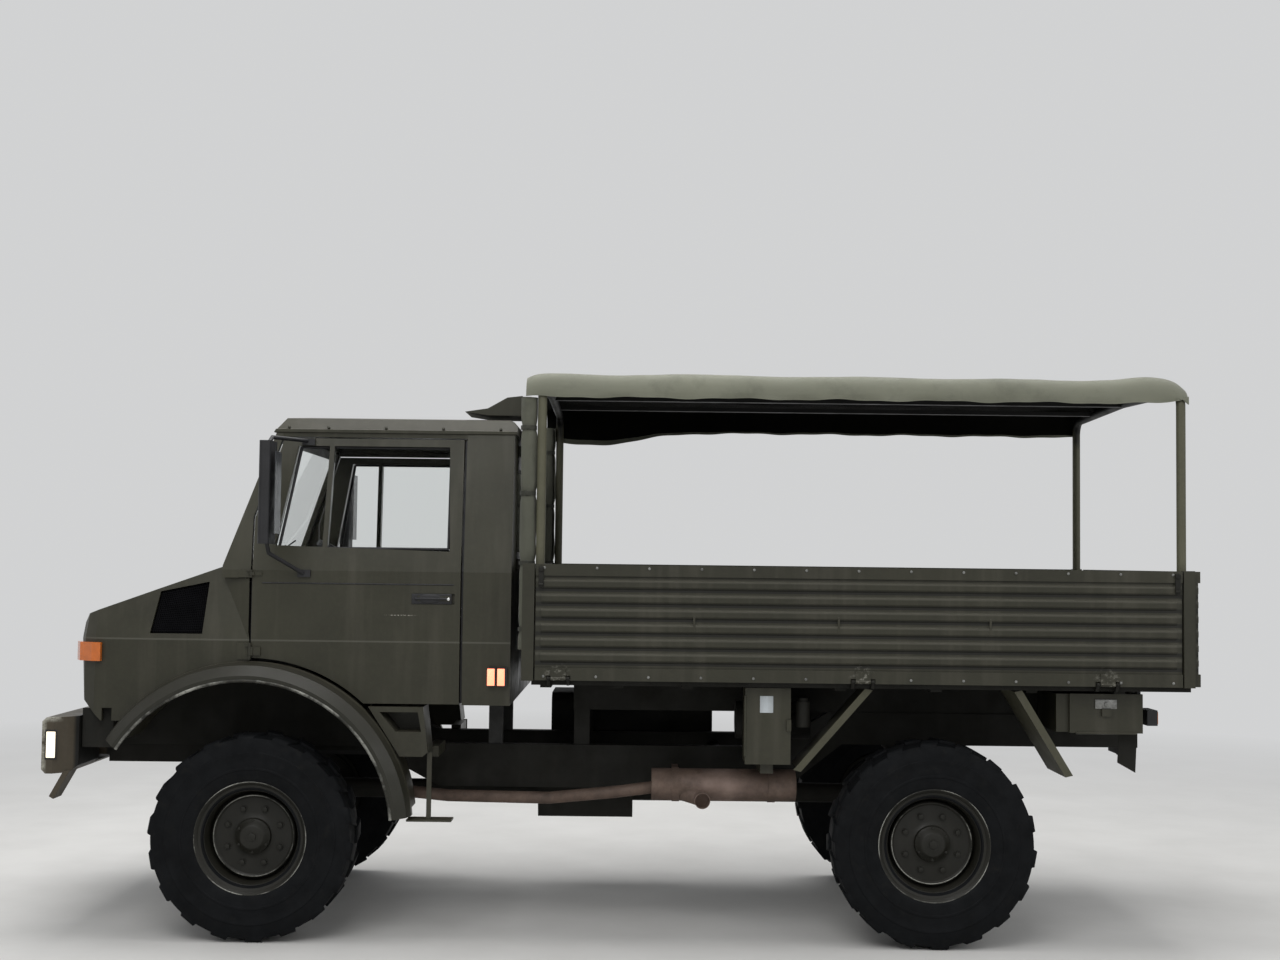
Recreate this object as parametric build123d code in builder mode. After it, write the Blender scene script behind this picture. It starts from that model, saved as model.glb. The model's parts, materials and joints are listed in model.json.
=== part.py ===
from build123d import *
import math
import os

os.makedirs("parts", exist_ok=True)

# Four-wheel-drive military cargo truck, millimetres.
# X forward, Y to the truck's left, Z up, origin on the ground under the middle of its box.

# Driving dimensions of the whole truck
wheelbase = 3700
front_overhang = 1135
rear_overhang = 1445
track = 1860
tyre_radius = 556
tyre_width = 318
running_gap = 0.05
seat_gap = 0.3
panel_gap = 10

front_x = (wheelbase + front_overhang + rear_overhang) / 2
rear_x = -front_x
front_axle_x = front_x - front_overhang
rear_axle_x = front_axle_x - wheelbase
wheel_y = track / 2
hub_z = tyre_radius

# Cab side section: height and half width of the outer skin, sill to drip rail
sill_z = 1277
sill_half = 985
crease_z = 1620
belt_z = 2004
body_half = 1000
rail_z = 2770
rail_half = 900
roof_top_z = 2866
roof_half = 840
door_thick = 62
wall_thick = 40

# Stations along the cab
cab_rear_x = 620
door_rear_x = 899
door_front_x = 2040
screen_base_x = 2205
screen_base_z = 2026
screen_top_x = 1945
nose_x = 2998
nose_top_z = 1745
nose_low_z = 1278
nose_half = 955

# Wheel arch over the front wheel, measured on the flare
arch_x = front_axle_x + 40
arch_z = 600
arch_lip_r = 806
arch_top_r = 905
arch_lip_half = body_half + 130
arch_inner_half = 520

# Load bed
bed_front_x = 543
bed_half = 1150
bed_low_z = 1430
bed_top_z = 2055
side_thick = 40
floor_z = 1500
floor_thick = 34
post_width = 65
hoop_r = 25
hoop_half = 1068
hoop_top_z = 3098
hoop_corner_r = 95
hoop_front_x = 459
hoop_rear_x = -3038
cloth = 8


def side_plane(y):
    """Sketch plane seen from the truck's left: sketch x along X, sketch y along Z."""
    return Plane.XZ.offset(-y)


def cross_plane(x):
    """Sketch plane across the truck: sketch x along Y, sketch y along Z."""
    return Plane.YZ.offset(x)


def level(z):
    """Horizontal sketch plane at height z."""
    return Plane.XY.offset(z)


def mirrored(piece):
    """The same piece on the other side of the truck."""
    with BuildPart() as other:
        mirror(piece, about=Plane.XZ)
    return other.part


def save(piece, name):
    """Label a finished piece and write it to its own file."""
    piece.label = name
    export_step(piece, f"parts/{name}.step")


# Wheels: eight hole disc rims and lugged tyres, made about Z with the outer side up
facets = 30
rim_seat_r = 254
rim_flange_r = 292
rim_inner_r = 246
rim_half = 134
flange_thick = 11
dish_r = 200
dish_out = 40
dish_back = -6
gutter_out = 6
hub_r = 96
hub_out = 102
hub_in = -62
spindle_r = 44
spindle_depth = 58
lug_count = 15
lug_height = 26
lug_width = 62
lug_slant = 24
lug_in = 8
side_bulge_r = 432
bead_half = 120

tread_r = tyre_radius - lug_height
shoulder_half = tyre_width / 2 - 9

with BuildPart() as rim_shape:
    # bands of the barrel: low height, high height, radius
    for low, high, radius in (
        (-rim_half, -rim_half + flange_thick, rim_flange_r),
        (-rim_half, rim_half, rim_seat_r),
        (rim_half - flange_thick, rim_half, rim_flange_r),
    ):
        with BuildSketch(level(low)):
            RegularPolygon(radius, facets)
        extrude(amount=high - low)
    with BuildSketch(level(gutter_out)):
        RegularPolygon(rim_inner_r, facets)
    extrude(amount=rim_half, mode=Mode.SUBTRACT)
    with BuildSketch(level(-rim_half)):
        RegularPolygon(rim_inner_r, facets)
    extrude(amount=rim_half + dish_back, mode=Mode.SUBTRACT)
    with BuildSketch(level(gutter_out - 1)):
        RegularPolygon(dish_r + 5, facets)
    extrude(amount=dish_out - gutter_out + 1, taper=8)
    with BuildSketch(level(hub_in)):
        RegularPolygon(hub_r, facets)
    extrude(amount=hub_out - hub_in)
    with BuildSketch(level(hub_in)):
        Circle(spindle_r + running_gap)
    extrude(amount=spindle_depth, mode=Mode.SUBTRACT)

with BuildPart() as lug:
    with BuildSketch(Plane.YZ.offset(tread_r - 14)):
        with BuildLine():
            Polyline(
                (-(lug_width + lug_slant) / 2, lug_in),
                ((lug_width - lug_slant) / 2, lug_in),
                ((lug_width + lug_slant) / 2, shoulder_half + 6),
                (-(lug_width - lug_slant) / 2, shoulder_half + 6),
                close=True,
            )
        make_face()
    extrude(amount=tyre_radius - tread_r + 14, taper=9)
lug_up = lug.part
lug_down = mirror(lug_up, about=Plane.XY)

with BuildPart() as tyre_shape:
    # outer sections: height from the middle plane, radius
    for height, radius in (
        (-tyre_width / 2, side_bulge_r),
        (-shoulder_half, tread_r - 22),
        (-shoulder_half + 22, tread_r),
        (shoulder_half - 22, tread_r),
        (shoulder_half, tread_r - 22),
        (tyre_width / 2, side_bulge_r),
    ):
        with BuildSketch(level(height)):
            RegularPolygon(radius, facets)
    loft(ruled=True)
    for side in (1, -1):
        with BuildSketch(level(side * bead_half)):
            RegularPolygon(rim_flange_r + 6, facets)
        with BuildSketch(level(side * (tyre_width / 2 + 1))):
            RegularPolygon(side_bulge_r - 34, facets)
        loft(ruled=True, mode=Mode.SUBTRACT)
    with BuildSketch(level(-tyre_width / 2)):
        RegularPolygon(rim_seat_r + seat_gap, facets)
    extrude(amount=tyre_width, mode=Mode.SUBTRACT)
    # each lug stands on one facet of the tread
    with PolarLocations(0, lug_count, start_angle=90 / lug_count):
        add(lug_up)
    with PolarLocations(0, lug_count, start_angle=270 / lug_count):
        add(lug_down)

# corner name, axle position, side of the truck
corners = (
    ("fl", front_axle_x, 1),
    ("fr", front_axle_x, -1),
    ("rl", rear_axle_x, 1),
    ("rr", rear_axle_x, -1),
)
for name, axle_x, side in corners:
    place = Location((axle_x, side * wheel_y, hub_z), (-90 * side, 0, 0))
    with BuildPart() as rim:
        with Locations(place):
            add(rim_shape.part)
    save(rim.part, f"rim_{name}")
    with BuildPart() as tyre:
        with Locations(place):
            add(tyre_shape.part)
    save(tyre.part, f"tyre_{name}")

# Portal axles: the tube sits above the hubs and gearboxes drop to them
axle_tube_z = 690
axle_tube_r = 62
portal_y = 505
portal_thick = 64
portal_r = 118
neck_r = 76
neck_end_y = 585
king_y = 742
king_pin_r = 30
king_pin_z = (455, 815)
hub_face_y = wheel_y + hub_in
knuckle_gap = 8
drum_r = 94
fork_half = 45
fork_thick = 32
carrier_r = 112

# Steering knuckles carry the front hubs on short spindles
arm_x = front_axle_x - 232
arm_y = king_y
arm_z = 585
tie_rod_r = 19
tie_pin_r = 13

with BuildPart() as knuckle_left:
    # the drum between king pin and wheel, with the spindle that the hub turns on
    with BuildSketch(side_plane(king_y - 62)):
        with Locations((front_axle_x, hub_z)):
            Circle(drum_r)
    extrude(amount=-(hub_face_y - 6 - king_y + 62))
    with BuildSketch(side_plane(hub_face_y - 7)):
        with Locations((front_axle_x, hub_z)):
            Circle(spindle_r)
    extrude(amount=-(spindle_depth - 2))
    # upper and lower king pin ears
    for low, high in ((king_pin_z[0], hub_z - 60), (hub_z + 60, king_pin_z[1])):
        with BuildSketch(level(low)):
            with Locations((front_axle_x, king_y)):
                Circle(46)
        extrude(amount=high - low)
    with BuildSketch(level(king_pin_z[0] - 20)):
        with Locations((front_axle_x, king_y)):
            Circle(king_pin_r + running_gap)
    extrude(amount=king_pin_z[1] - king_pin_z[0] + 40, mode=Mode.SUBTRACT)
    # steering arm reaching back to the tie rod
    with BuildSketch(level(arm_z)):
        with BuildLine():
            Polyline(
                (front_axle_x - 60, king_y - 42),
                (front_axle_x - 60, king_y + 30),
                (arm_x - 34, arm_y + 22),
                (arm_x - 34, arm_y - 26),
                close=True,
            )
        make_face()
        with Locations((arm_x, arm_y)):
            Circle(tie_pin_r + running_gap, mode=Mode.SUBTRACT)
    extrude(amount=34)
save(knuckle_left.part, "knuckle_left")
save(mirrored(knuckle_left.part), "knuckle_right")

# The tie rod joins both steering arms behind the front axle
with BuildPart() as tie_rod:
    with BuildSketch(side_plane(-arm_y)):
        with Locations((arm_x, arm_z - 24)):
            Circle(tie_rod_r)
    extrude(amount=-2 * arm_y)
    for side in (1, -1):
        with Locations((arm_x, side * arm_y, arm_z - 24)):
            Cylinder(26, 36)
        with BuildSketch(level(arm_z - 24)):
            with Locations((arm_x, side * arm_y)):
                Circle(tie_pin_r)
        extrude(amount=24 + 34 + 10)
save(tie_rod.part, "tie_rod")

diff_r = 158
torque_tube_r = 58


def portal_housing(axle_x, side):
    """Gear housing that drops from the axle tube to the hub on one side."""
    with BuildPart() as housing:
        with BuildSketch(side_plane(side * (portal_y - portal_thick / 2))):
            with Locations((axle_x, (hub_z + axle_tube_z) / 2)):
                SlotCenterToCenter(axle_tube_z - hub_z, 2 * portal_r, rotation=90)
        extrude(amount=-side * portal_thick)
    return housing.part


with BuildPart() as front_axle:
    with BuildSketch(side_plane(-portal_y)):
        with Locations((front_axle_x, axle_tube_z)):
            Circle(axle_tube_r)
    extrude(amount=-2 * portal_y)
    with Locations((front_axle_x, 0, axle_tube_z)):
        Sphere(diff_r)
    for side in (1, -1):
        add(portal_housing(front_axle_x, side))
        with BuildSketch(side_plane(side * portal_y)):
            with Locations((front_axle_x, hub_z)):
                Circle(neck_r)
        extrude(amount=-side * (neck_end_y - portal_y))
        with BuildSketch(side_plane(side * neck_end_y)):
            with Locations((front_axle_x, hub_z)):
                Circle(26)
        extrude(amount=-side * 52)
        # fork that holds the king pin above and below the knuckle
        top = king_pin_z[1] + knuckle_gap
        low = king_pin_z[0] - knuckle_gap
        with BuildSketch(cross_plane(front_axle_x - fork_half)):
            with BuildLine():
                Polyline(
                    (side * portal_y, top + fork_thick),
                    (side * king_y, top + fork_thick),
                    (side * king_y, top),
                    (side * (neck_end_y + 30), top),
                    (side * neck_end_y, top - 36),
                    (side * neck_end_y, low + 36),
                    (side * (neck_end_y + 30), low),
                    (side * king_y, low),
                    (side * king_y, low - fork_thick),
                    (side * portal_y, low - fork_thick),
                    close=True,
                )
            make_face()
        extrude(amount=2 * fork_half)
        for base in (low - fork_thick, top):
            with BuildSketch(level(base)):
                with Locations((front_axle_x, side * king_y)):
                    Circle(fork_half)
            extrude(amount=fork_thick)
        with BuildSketch(level(low - 4)):
            with Locations((front_axle_x, side * king_y)):
                Circle(king_pin_r)
        extrude(amount=top - low + 8)
save(front_axle.part, "front_axle")

with BuildPart() as rear_axle:
    with BuildSketch(side_plane(-portal_y)):
        with Locations((rear_axle_x, axle_tube_z)):
            Circle(axle_tube_r)
    extrude(amount=-2 * portal_y)
    with Locations((rear_axle_x, 0, axle_tube_z)):
        Sphere(diff_r)
    for side in (1, -1):
        add(portal_housing(rear_axle_x, side))
        # hub carrier and the spindle that the hub turns on: end on the truck's side, radius
        for start, end, radius in (
            (portal_y, hub_face_y - 6, carrier_r),
            (hub_face_y - 7, hub_face_y - 7 + spindle_depth - 2, spindle_r),
        ):
            with BuildSketch(side_plane(side * start)):
                with Locations((rear_axle_x, hub_z)):
                    Circle(radius)
            extrude(amount=-side * (end - start))
save(rear_axle.part, "rear_axle")

# Ladder frame, low between the axles and raised over them
rail_y = 392
rail_flange = 76
rail_web = 9
rail_lift_z = 1212
rail_end_x = rear_x + 150
bumper_depth = 165
rail_front_x = front_x - bumper_depth
cross_reach = rail_y + rail_flange / 2 - 2
rail_in_y = rail_y + rail_flange / 2 - rail_web
rail_top = (
    (rail_front_x, 1112),
    (2480, 1112),
    (2250, 1180),
    (1500, 1180),
    (1150, 1008),
    (-850, 1008),
    (-1190, rail_lift_z),
    (rail_end_x, rail_lift_z),
)
rail_low = (
    (rail_end_x, 1028),
    (-1270, 1028),
    (-930, 762),
    (1060, 762),
    (1430, 960),
    (2290, 960),
    (2500, 884),
    (rail_front_x, 884),
)
# cross tubes of the frame: x, z, radius
cross_tubes = (
    (2905, 1000, 42),
    (1260, 1000, 42),
    (-560, 900, 50),
    (-2380, 1120, 42),
)

with BuildPart() as frame_rails:
    for side in (1, -1):
        with BuildSketch(side_plane(side * (rail_y + rail_flange / 2))):
            with BuildLine():
                Polyline(*rail_top, *rail_low, close=True)
            make_face()
        extrude(amount=side * rail_flange)
        with BuildSketch(side_plane(side * (rail_y + rail_flange / 2 - rail_web))):
            with BuildLine():
                Polyline(*rail_top, *rail_low, close=True)
            make_face()
            offset(amount=-rail_web, mode=Mode.REPLACE)
        extrude(amount=side * rail_flange, mode=Mode.SUBTRACT)
    for x, z, radius in cross_tubes:
        with BuildSketch(side_plane(-cross_reach)):
            with Locations((x, z)):
                Circle(radius)
        extrude(amount=-2 * cross_reach)
    with Locations((rail_end_x + 20, 0, (1028 + rail_lift_z) / 2)):
        Box(40, 2 * rail_y + rail_flange, rail_lift_z - 1028)
save(frame_rails.part, "frame_rails")

# Gearbox, torque tubes to both axles, and the engine as one plain block
tube_end_gap = seat_gap

with BuildPart() as driveline:
    with BuildSketch(cross_plane(-60)):
        with BuildLine():
            Polyline((-190, 560), (190, 560), (240, 700), (200, 930), (-200, 930), (-240, 700), close=True)
        make_face()
    extrude(amount=560)
    with BuildSketch(cross_plane(front_axle_x - diff_r - tube_end_gap)):
        with Locations((0, axle_tube_z)):
            Circle(torque_tube_r)
    extrude(amount=-(front_axle_x - diff_r - tube_end_gap - 480))
    with BuildSketch(cross_plane(rear_axle_x + diff_r + tube_end_gap)):
        with Locations((0, axle_tube_z)):
            Circle(torque_tube_r)
    extrude(amount=-60 - (rear_axle_x + diff_r + tube_end_gap) + 20)
    # mounts to both rails
    for side in (1, -1):
        with Locations((200, side * (200 + rail_in_y) / 2, 870)):
            Box(90, rail_in_y - 200 - 2 * seat_gap, 56)
save(driveline.part, "driveline")

engine_low_z = 905
engine_half = 238

with BuildPart() as engine:
    with BuildSketch(cross_plane(1420)):
        with BuildLine():
            Polyline(
                (-150, engine_low_z),
                (150, engine_low_z),
                (engine_half, engine_low_z + 160),
                (engine_half, 1560),
                (150, 1640),
                (-150, 1640),
                (-engine_half, 1560),
                (-engine_half, engine_low_z + 160),
                close=True,
            )
        make_face()
    extrude(amount=1040)
    for side in (1, -1):
        for x in (1570, 2340):
            with Locations((x, side * (230 + rail_in_y) / 2, 1095)):
                Box(80, rail_in_y - 230 - 2 * seat_gap, 60)
save(engine.part, "engine")

# Coil springs and dampers: axle, side; the coils are one ribbed sleeve a spring
spring_y = rail_y
spring_r = 72
coil_count = 5
damper_low_z = axle_tube_z + 10
damper_offset = 150
damper_y = 300

with BuildPart() as coil_springs:
    for axle_x, top in ((front_axle_x, 960), (rear_axle_x, 1028)):
        for side in (1, -1):
            low = axle_tube_z + axle_tube_r + seat_gap
            pitch = (top - seat_gap - low) / coil_count
            for turn in range(coil_count):
                with BuildSketch(level(low + turn * pitch)):
                    with Locations((axle_x, side * (spring_y - 4))):
                        Circle(spring_r - 16)
                extrude(amount=pitch)
                with BuildSketch(level(low + (turn + 0.25) * pitch)):
                    with Locations((axle_x, side * (spring_y - 4))):
                        Circle(spring_r)
                extrude(amount=pitch / 2)
save(coil_springs.part, "coil_springs")

with BuildPart() as dampers:
    for axle_x, lean in ((front_axle_x, 1), (rear_axle_x, -1)):
        for side in (1, -1):
            foot = Vector(axle_x + lean * (damper_offset + 12), side * damper_y, damper_low_z - 40)
            head = Vector(axle_x + lean * (damper_offset + 60), side * damper_y, 1090)
            for start, end, radius in ((0, 0.5, 30), (0.5, 1, 38)):
                run = head - foot
                base = foot + run * start
                with BuildSketch(Plane(origin=base, z_dir=run)):
                    Circle(radius)
                extrude(amount=run.length * (end - start))
            with BuildSketch(side_plane(side * damper_y)):
                with Locations((head.X, head.Z)):
                    Circle(26)
            extrude(amount=-side * (rail_in_y - damper_y - seat_gap))
            with BuildSketch(side_plane(side * (damper_y + 18))):
                with Locations((foot.X, foot.Z)):
                    Circle(24)
                with Locations((foot.X - lean * 51.5, foot.Z)):
                    Rectangle(100, 30)
            extrude(amount=side * 36)
save(dampers.part, "dampers")

# Front bumper: a deep channel with boxed ends that hold the headlamps
bumper_half = 1075
bumper_top_z = 1194
bumper_low_z = 892
bumper_wall = 12
bumper_back_x = front_x - bumper_depth
lamp_y = 790
lamp_z = 1045
lamp_r = 96
pin_bore_r = 21
tow_z = 985

with BuildPart() as front_bumper:
    with BuildSketch(side_plane(bumper_half)) as bumper_section:
        with BuildLine():
            Polyline(
                (bumper_back_x, bumper_low_z + 34),
                (bumper_back_x + 40, bumper_low_z),
                (front_x - 22, bumper_low_z),
                (front_x, bumper_low_z + 22),
                (front_x, bumper_top_z - 22),
                (front_x - 22, bumper_top_z),
                (bumper_back_x, bumper_top_z),
                close=True,
            )
        make_face()
    extrude(amount=2 * bumper_half)
    # open at the back between the boxed ends
    with Locations((bumper_back_x + 60, 0, (bumper_low_z + bumper_top_z) / 2)):
        Box(2 * (bumper_depth - 60) - 2 * bumper_wall, 2 * 620, 270, mode=Mode.SUBTRACT)
    with BuildSketch(Plane.XY.offset(bumper_low_z - 1)):
        with Locations((bumper_back_x, bumper_half), (bumper_back_x, -bumper_half)):
            Rectangle(150, 150, rotation=45)
    extrude(amount=400, mode=Mode.SUBTRACT)
    # round lamp recesses
    for side in (1, -1):
        with BuildSketch(cross_plane(front_x + 1)):
            with Locations((side * lamp_y, lamp_z)):
                Circle(lamp_r + 10)
        extrude(amount=-96, mode=Mode.SUBTRACT)
    # tow jaw in a notch: back plate and two plates with the pin bore
    with Locations((front_x - 50, 0, (bumper_low_z + bumper_top_z) / 2)):
        Box(104, 200, bumper_top_z - bumper_low_z + 10, mode=Mode.SUBTRACT)
    with Locations((front_x - 116, 0, (bumper_low_z + bumper_top_z) / 2)):
        Box(30, 260, bumper_top_z - bumper_low_z)
    for z in (tow_z - 42, tow_z + 42):
        with Locations((front_x - 56, 0, z)):
            Box(100, 130, 22)
    with BuildSketch(level(tow_z - 60)):
        with Locations((front_x - 44, 0)):
            Circle(pin_bore_r)
    extrude(amount=120, mode=Mode.SUBTRACT)
    # folding foot step under each end
    for side in (1, -1):
        with BuildSketch(side_plane(side * 1030)):
            with BuildLine():
                Polyline(
                    (bumper_back_x + 26, bumper_low_z + 10),
                    (bumper_back_x + 60, bumper_low_z + 10),
                    (front_x - 30, bumper_low_z - 128),
                    (front_x - 54, bumper_low_z - 142),
                    close=True,
                )
            make_face()
        extrude(amount=side * 130)
    # brackets to the rail ends
    for side in (1, -1):
        with Locations((front_x - (bumper_depth + bumper_wall) / 2, side * rail_y, 998)):
            Box(bumper_depth - bumper_wall, 60, 150)
save(front_bumper.part, "front_bumper")

with BuildPart() as headlamps:
    for side in (1, -1):
        with BuildSketch(cross_plane(front_x - 95 + seat_gap)):
            with Locations((side * lamp_y, lamp_z)):
                Circle(lamp_r)
        extrude(amount=70)
        with BuildSketch(cross_plane(front_x - 26)):
            with Locations((side * lamp_y, lamp_z)):
                Circle(lamp_r - 8)
        extrude(amount=14, taper=20)
save(headlamps.part, "headlamps")

# Rear crossmember plate with the towing jaw
tow_rear_z = 1010
tow_bore_r = 20
jaw_gap = 64

with BuildPart() as tow_coupling:
    with Locations((rail_end_x - 8, 0, tow_rear_z + 60)):
        Box(16, 330, 250)
    with BuildSketch(cross_plane(rail_end_x - 15)):
        with Locations((0, tow_rear_z)):
            RectangleRounded(120, 150, 20)
    extrude(amount=-28)
    for side in (1, -1):
        with BuildSketch(level(tow_rear_z + side * (jaw_gap / 2 + 12) - 12)):
            with Locations((rail_end_x - 60, 0)):
                SlotCenterToCenter(40, 76)
        extrude(amount=24)
    with BuildSketch(level(tow_rear_z - 80)):
        with Locations((rail_end_x - 70, 0)):
            Circle(tow_bore_r)
    extrude(amount=160, mode=Mode.SUBTRACT)
save(tow_coupling.part, "tow_coupling")

# Fuel tank on the right, hung from the rail by two straps
tank_half_y = 270

with BuildPart() as fuel_tank:
    with BuildSketch(cross_plane(-560)):
        with Locations((-(rail_y + rail_flange / 2 + 42 + tank_half_y), 985)):
            RectangleRounded(2 * tank_half_y, 500, 70)
    extrude(amount=1020)
    for x in (-330, 250):
        with BuildSketch(cross_plane(x)):
            with Locations((-(rail_y + rail_flange / 2 + 42 + tank_half_y), 985)):
                RectangleRounded(2 * tank_half_y + 12, 512, 76)
        extrude(amount=46)
        with Locations((x + 23, -(rail_y + rail_flange / 2 + 21 + seat_gap / 2), 940)):
            Box(46, 42 - seat_gap, 90)
    with BuildSketch(level(1200)):
        with Locations((150, -(rail_y + rail_flange / 2 + 42 + 2 * tank_half_y - 90))):
            Circle(48)
    extrude(amount=80)
save(fuel_tank.part, "fuel_tank")

# Narrow switch box on the left behind the exhaust, with a door that swings forward
box_front_x = -669
box_rear_x = -911
box_low_z = 985
box_top_z = 1392
box_out_y = 1050
box_depth = 210
box_wall = 8
door_skin = 24
hinge_r = 7
box_x = (box_front_x + box_rear_x) / 2
box_z = (box_low_z + box_top_z) / 2
box_in_y = box_out_y - door_skin - seat_gap

with BuildPart() as side_box:
    with Locations((box_x, box_in_y - box_depth / 2, box_z)):
        Box(box_front_x - box_rear_x, box_depth, box_top_z - box_low_z)
        with Locations((0, box_wall, 0)):
            Box(
                box_front_x - box_rear_x - 2 * box_wall,
                box_depth,
                box_top_z - box_low_z - 2 * box_wall,
                mode=Mode.SUBTRACT,
            )
    # bearer arm back to the frame rail
    with BuildSketch(side_plane(box_in_y - box_depth)):
        with Locations((box_x, box_low_z - 34 + box_wall)):
            Rectangle(70, 68)
    extrude(amount=box_in_y - box_depth - rail_y - rail_flange / 2 - seat_gap)
    with BuildSketch(side_plane(box_out_y - door_skin - 40)):
        with Locations((box_x, box_low_z - 34 + box_wall)):
            Rectangle(70, 68)
    extrude(amount=box_depth)
save(side_box.part, "side_box")

with BuildPart() as side_box_door:
    with Locations((box_x, box_out_y - door_skin / 2, box_z)):
        Box(box_front_x - box_rear_x + 6, door_skin, box_top_z - box_low_z + 6)
    with BuildSketch(level(box_low_z + 40)):
        with Locations((box_front_x + 3, box_out_y)):
            Circle(hinge_r)
    extrude(amount=box_top_z - box_low_z - 80)
    with Locations((box_rear_x + 8, box_out_y + 8, 1195)):
        Box(24, 18, 60)
save(side_box_door.part, "side_box_door")

# Air reservoir behind the switch box
with BuildPart() as air_tanks:
    with BuildSketch(level(1178)):
        with Locations((-988, 948)):
            Circle(40)
    extrude(amount=138)
    with BuildSketch(level(1314)):
        with Locations((-988, 948)):
            Circle(30)
    extrude(amount=22)
    with Locations((-988, 882, 1240)):
        Box(50, 60, 44)
    with BuildSketch(cross_plane(-1060)):
        with Locations((600, 1180)):
            Circle(105)
    extrude(amount=420)
    with Locations((-876, (600 + rail_y + rail_flange / 2 + seat_gap) / 2, 1015)):
        Box(50, 600 - rail_y - rail_flange / 2 - seat_gap, 150)
    with Locations((-988, 770, 1225)):
        Box(50, 190, 20)
save(air_tanks.part, "air_tanks")

# Rear tool box under the bed, with a lid that drops
tool_front_x = -2375
tool_rear_x = -2840
tool_lid_x = -2446
tool_low_z = 1171
tool_top_z = 1378
tool_out_y = 1010
tool_depth = 420
tool_in_y = tool_out_y - door_skin - seat_gap
tool_z = (tool_low_z + tool_top_z) / 2

with BuildPart() as toolbox:
    with Locations(((tool_front_x + tool_rear_x) / 2, tool_in_y - tool_depth / 2, tool_z)):
        Box(tool_front_x - tool_rear_x, tool_depth, tool_top_z - tool_low_z)
        Box(
            tool_front_x - tool_rear_x - 2 * box_wall,
            tool_depth - 2 * box_wall,
            tool_top_z - tool_low_z - 2 * box_wall,
            mode=Mode.SUBTRACT,
        )
    with Locations(((tool_lid_x + tool_rear_x) / 2, tool_out_y - door_skin - 10, tool_z)):
        Box(
            tool_lid_x - tool_rear_x - 2 * box_wall,
            40,
            tool_top_z - tool_low_z - 2 * box_wall,
            mode=Mode.SUBTRACT,
        )
    arm_length = tool_in_y - tool_depth - rail_y - rail_flange / 2 - seat_gap
    for x in (tool_front_x - 60, tool_rear_x + 60):
        with Locations((x, tool_in_y - tool_depth - arm_length / 2, tool_low_z + 30)):
            Box(40, arm_length, 40)
save(toolbox.part, "toolbox")

with BuildPart() as toolbox_door:
    with Locations(((tool_lid_x + tool_rear_x) / 2, tool_out_y - door_skin / 2, tool_z)):
        Box(tool_lid_x - tool_rear_x + 6, door_skin, tool_top_z - tool_low_z + 6)
    with BuildSketch(cross_plane(tool_rear_x + 30)):
        with Locations((tool_out_y, tool_low_z - 3)):
            Circle(hinge_r)
    extrude(amount=tool_lid_x - tool_rear_x - 60)
    with Locations(((tool_lid_x + tool_rear_x) / 2, tool_out_y + 8, 1280)):
        Box(54, 18, 40)
save(toolbox_door.part, "toolbox_door")

# Exhaust: pipe along the frame, muffler and an elbow that ends at the side
muffler_y = 660
muffler_z = 818
muffler_r = 90
pipe_r = 34
tail_r = 44

with BuildPart() as exhaust:
    with BuildSketch(cross_plane(-975)):
        with Locations((muffler_y, muffler_z)):
            Ellipse(118, muffler_r)
    extrude(amount=810)
    # cut-through pipe from the manifold side
    with BuildLine() as route:
        FilletPolyline(
            (-170, muffler_y, 800),
            (40, 650, 770),
            (420, 560, 720),
            (1000, 480, 716),
            (1290, 474, 742),
            radius=120,
        )
    with BuildSketch(Plane(origin=route.line @ 0, z_dir=route.line % 0)):
        Circle(pipe_r)
    sweep(path=route.line)
    with BuildLine() as tail:
        FilletPolyline(
            (-300, muffler_y + 30, muffler_z - 30),
            (-440, muffler_y + 120, muffler_z - 60),
            (-446, muffler_y + 205, muffler_z - 64),
            radius=40,
        )
    with BuildSketch(Plane(origin=tail.line @ 0, z_dir=tail.line % 0)):
        Circle(tail_r)
    sweep(path=tail.line)
    with BuildSketch(Plane(origin=tail.line @ 1, z_dir=-(tail.line % 1))):
        Circle(tail_r - 3)
    extrude(amount=60, mode=Mode.SUBTRACT)
    for x in (-320, -860):
        with BuildSketch(cross_plane(x)):
            with Locations((muffler_y, muffler_z)):
                Ellipse(122, muffler_r + 4)
        extrude(amount=40)
        with Locations((x + 20, (muffler_y - 70 + rail_y + rail_flange / 2) / 2 + seat_gap / 2, 890)):
            Box(36, muffler_y - 70 - rail_y - rail_flange / 2 - seat_gap, 30)
save(exhaust.part, "exhaust")

# Cab skin: half section from the sill to the drip rail as half width, height
skin = (
    (sill_half, sill_z),
    (body_half, crease_z),
    (body_half, belt_z),
    (rail_half, rail_z),
)


def skin_strip(thick, front, rear):
    """Left wall of the cab between two stations, following the side section."""
    inner = [(half - thick, height) for half, height in reversed(skin)]
    with BuildPart() as strip:
        with BuildSketch(cross_plane(rear)):
            with BuildLine():
                Polyline(*skin, *inner, close=True)
            make_face()
        extrude(amount=front - rear)
    return strip.part


# Doors: outline seen from the side, ahead of the arch the sill follows the flare
door_sill_z = sill_z + 4
door_top_z = 2738
door_arch_r = arch_top_r + 18
door_bend_z = 2290
door_pin_x = door_front_x + panel_gap / 2
door_pin_y = body_half + 14
door_pin_r = 6
door_knuckle_r = 9
# door hinges: height and half length, on the wing and on the pillar
low_hinge = (1560, 45)
top_hinge = (1984, 20)
door_top_x = 1898
glass_thick = 6

door_outline = (
    (door_front_x, 1400),
    (door_front_x, door_bend_z),
    (door_top_x, door_top_z),
    (door_rear_x, door_top_z),
    (door_rear_x, door_sill_z),
    (1500, door_sill_z),
)


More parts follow.
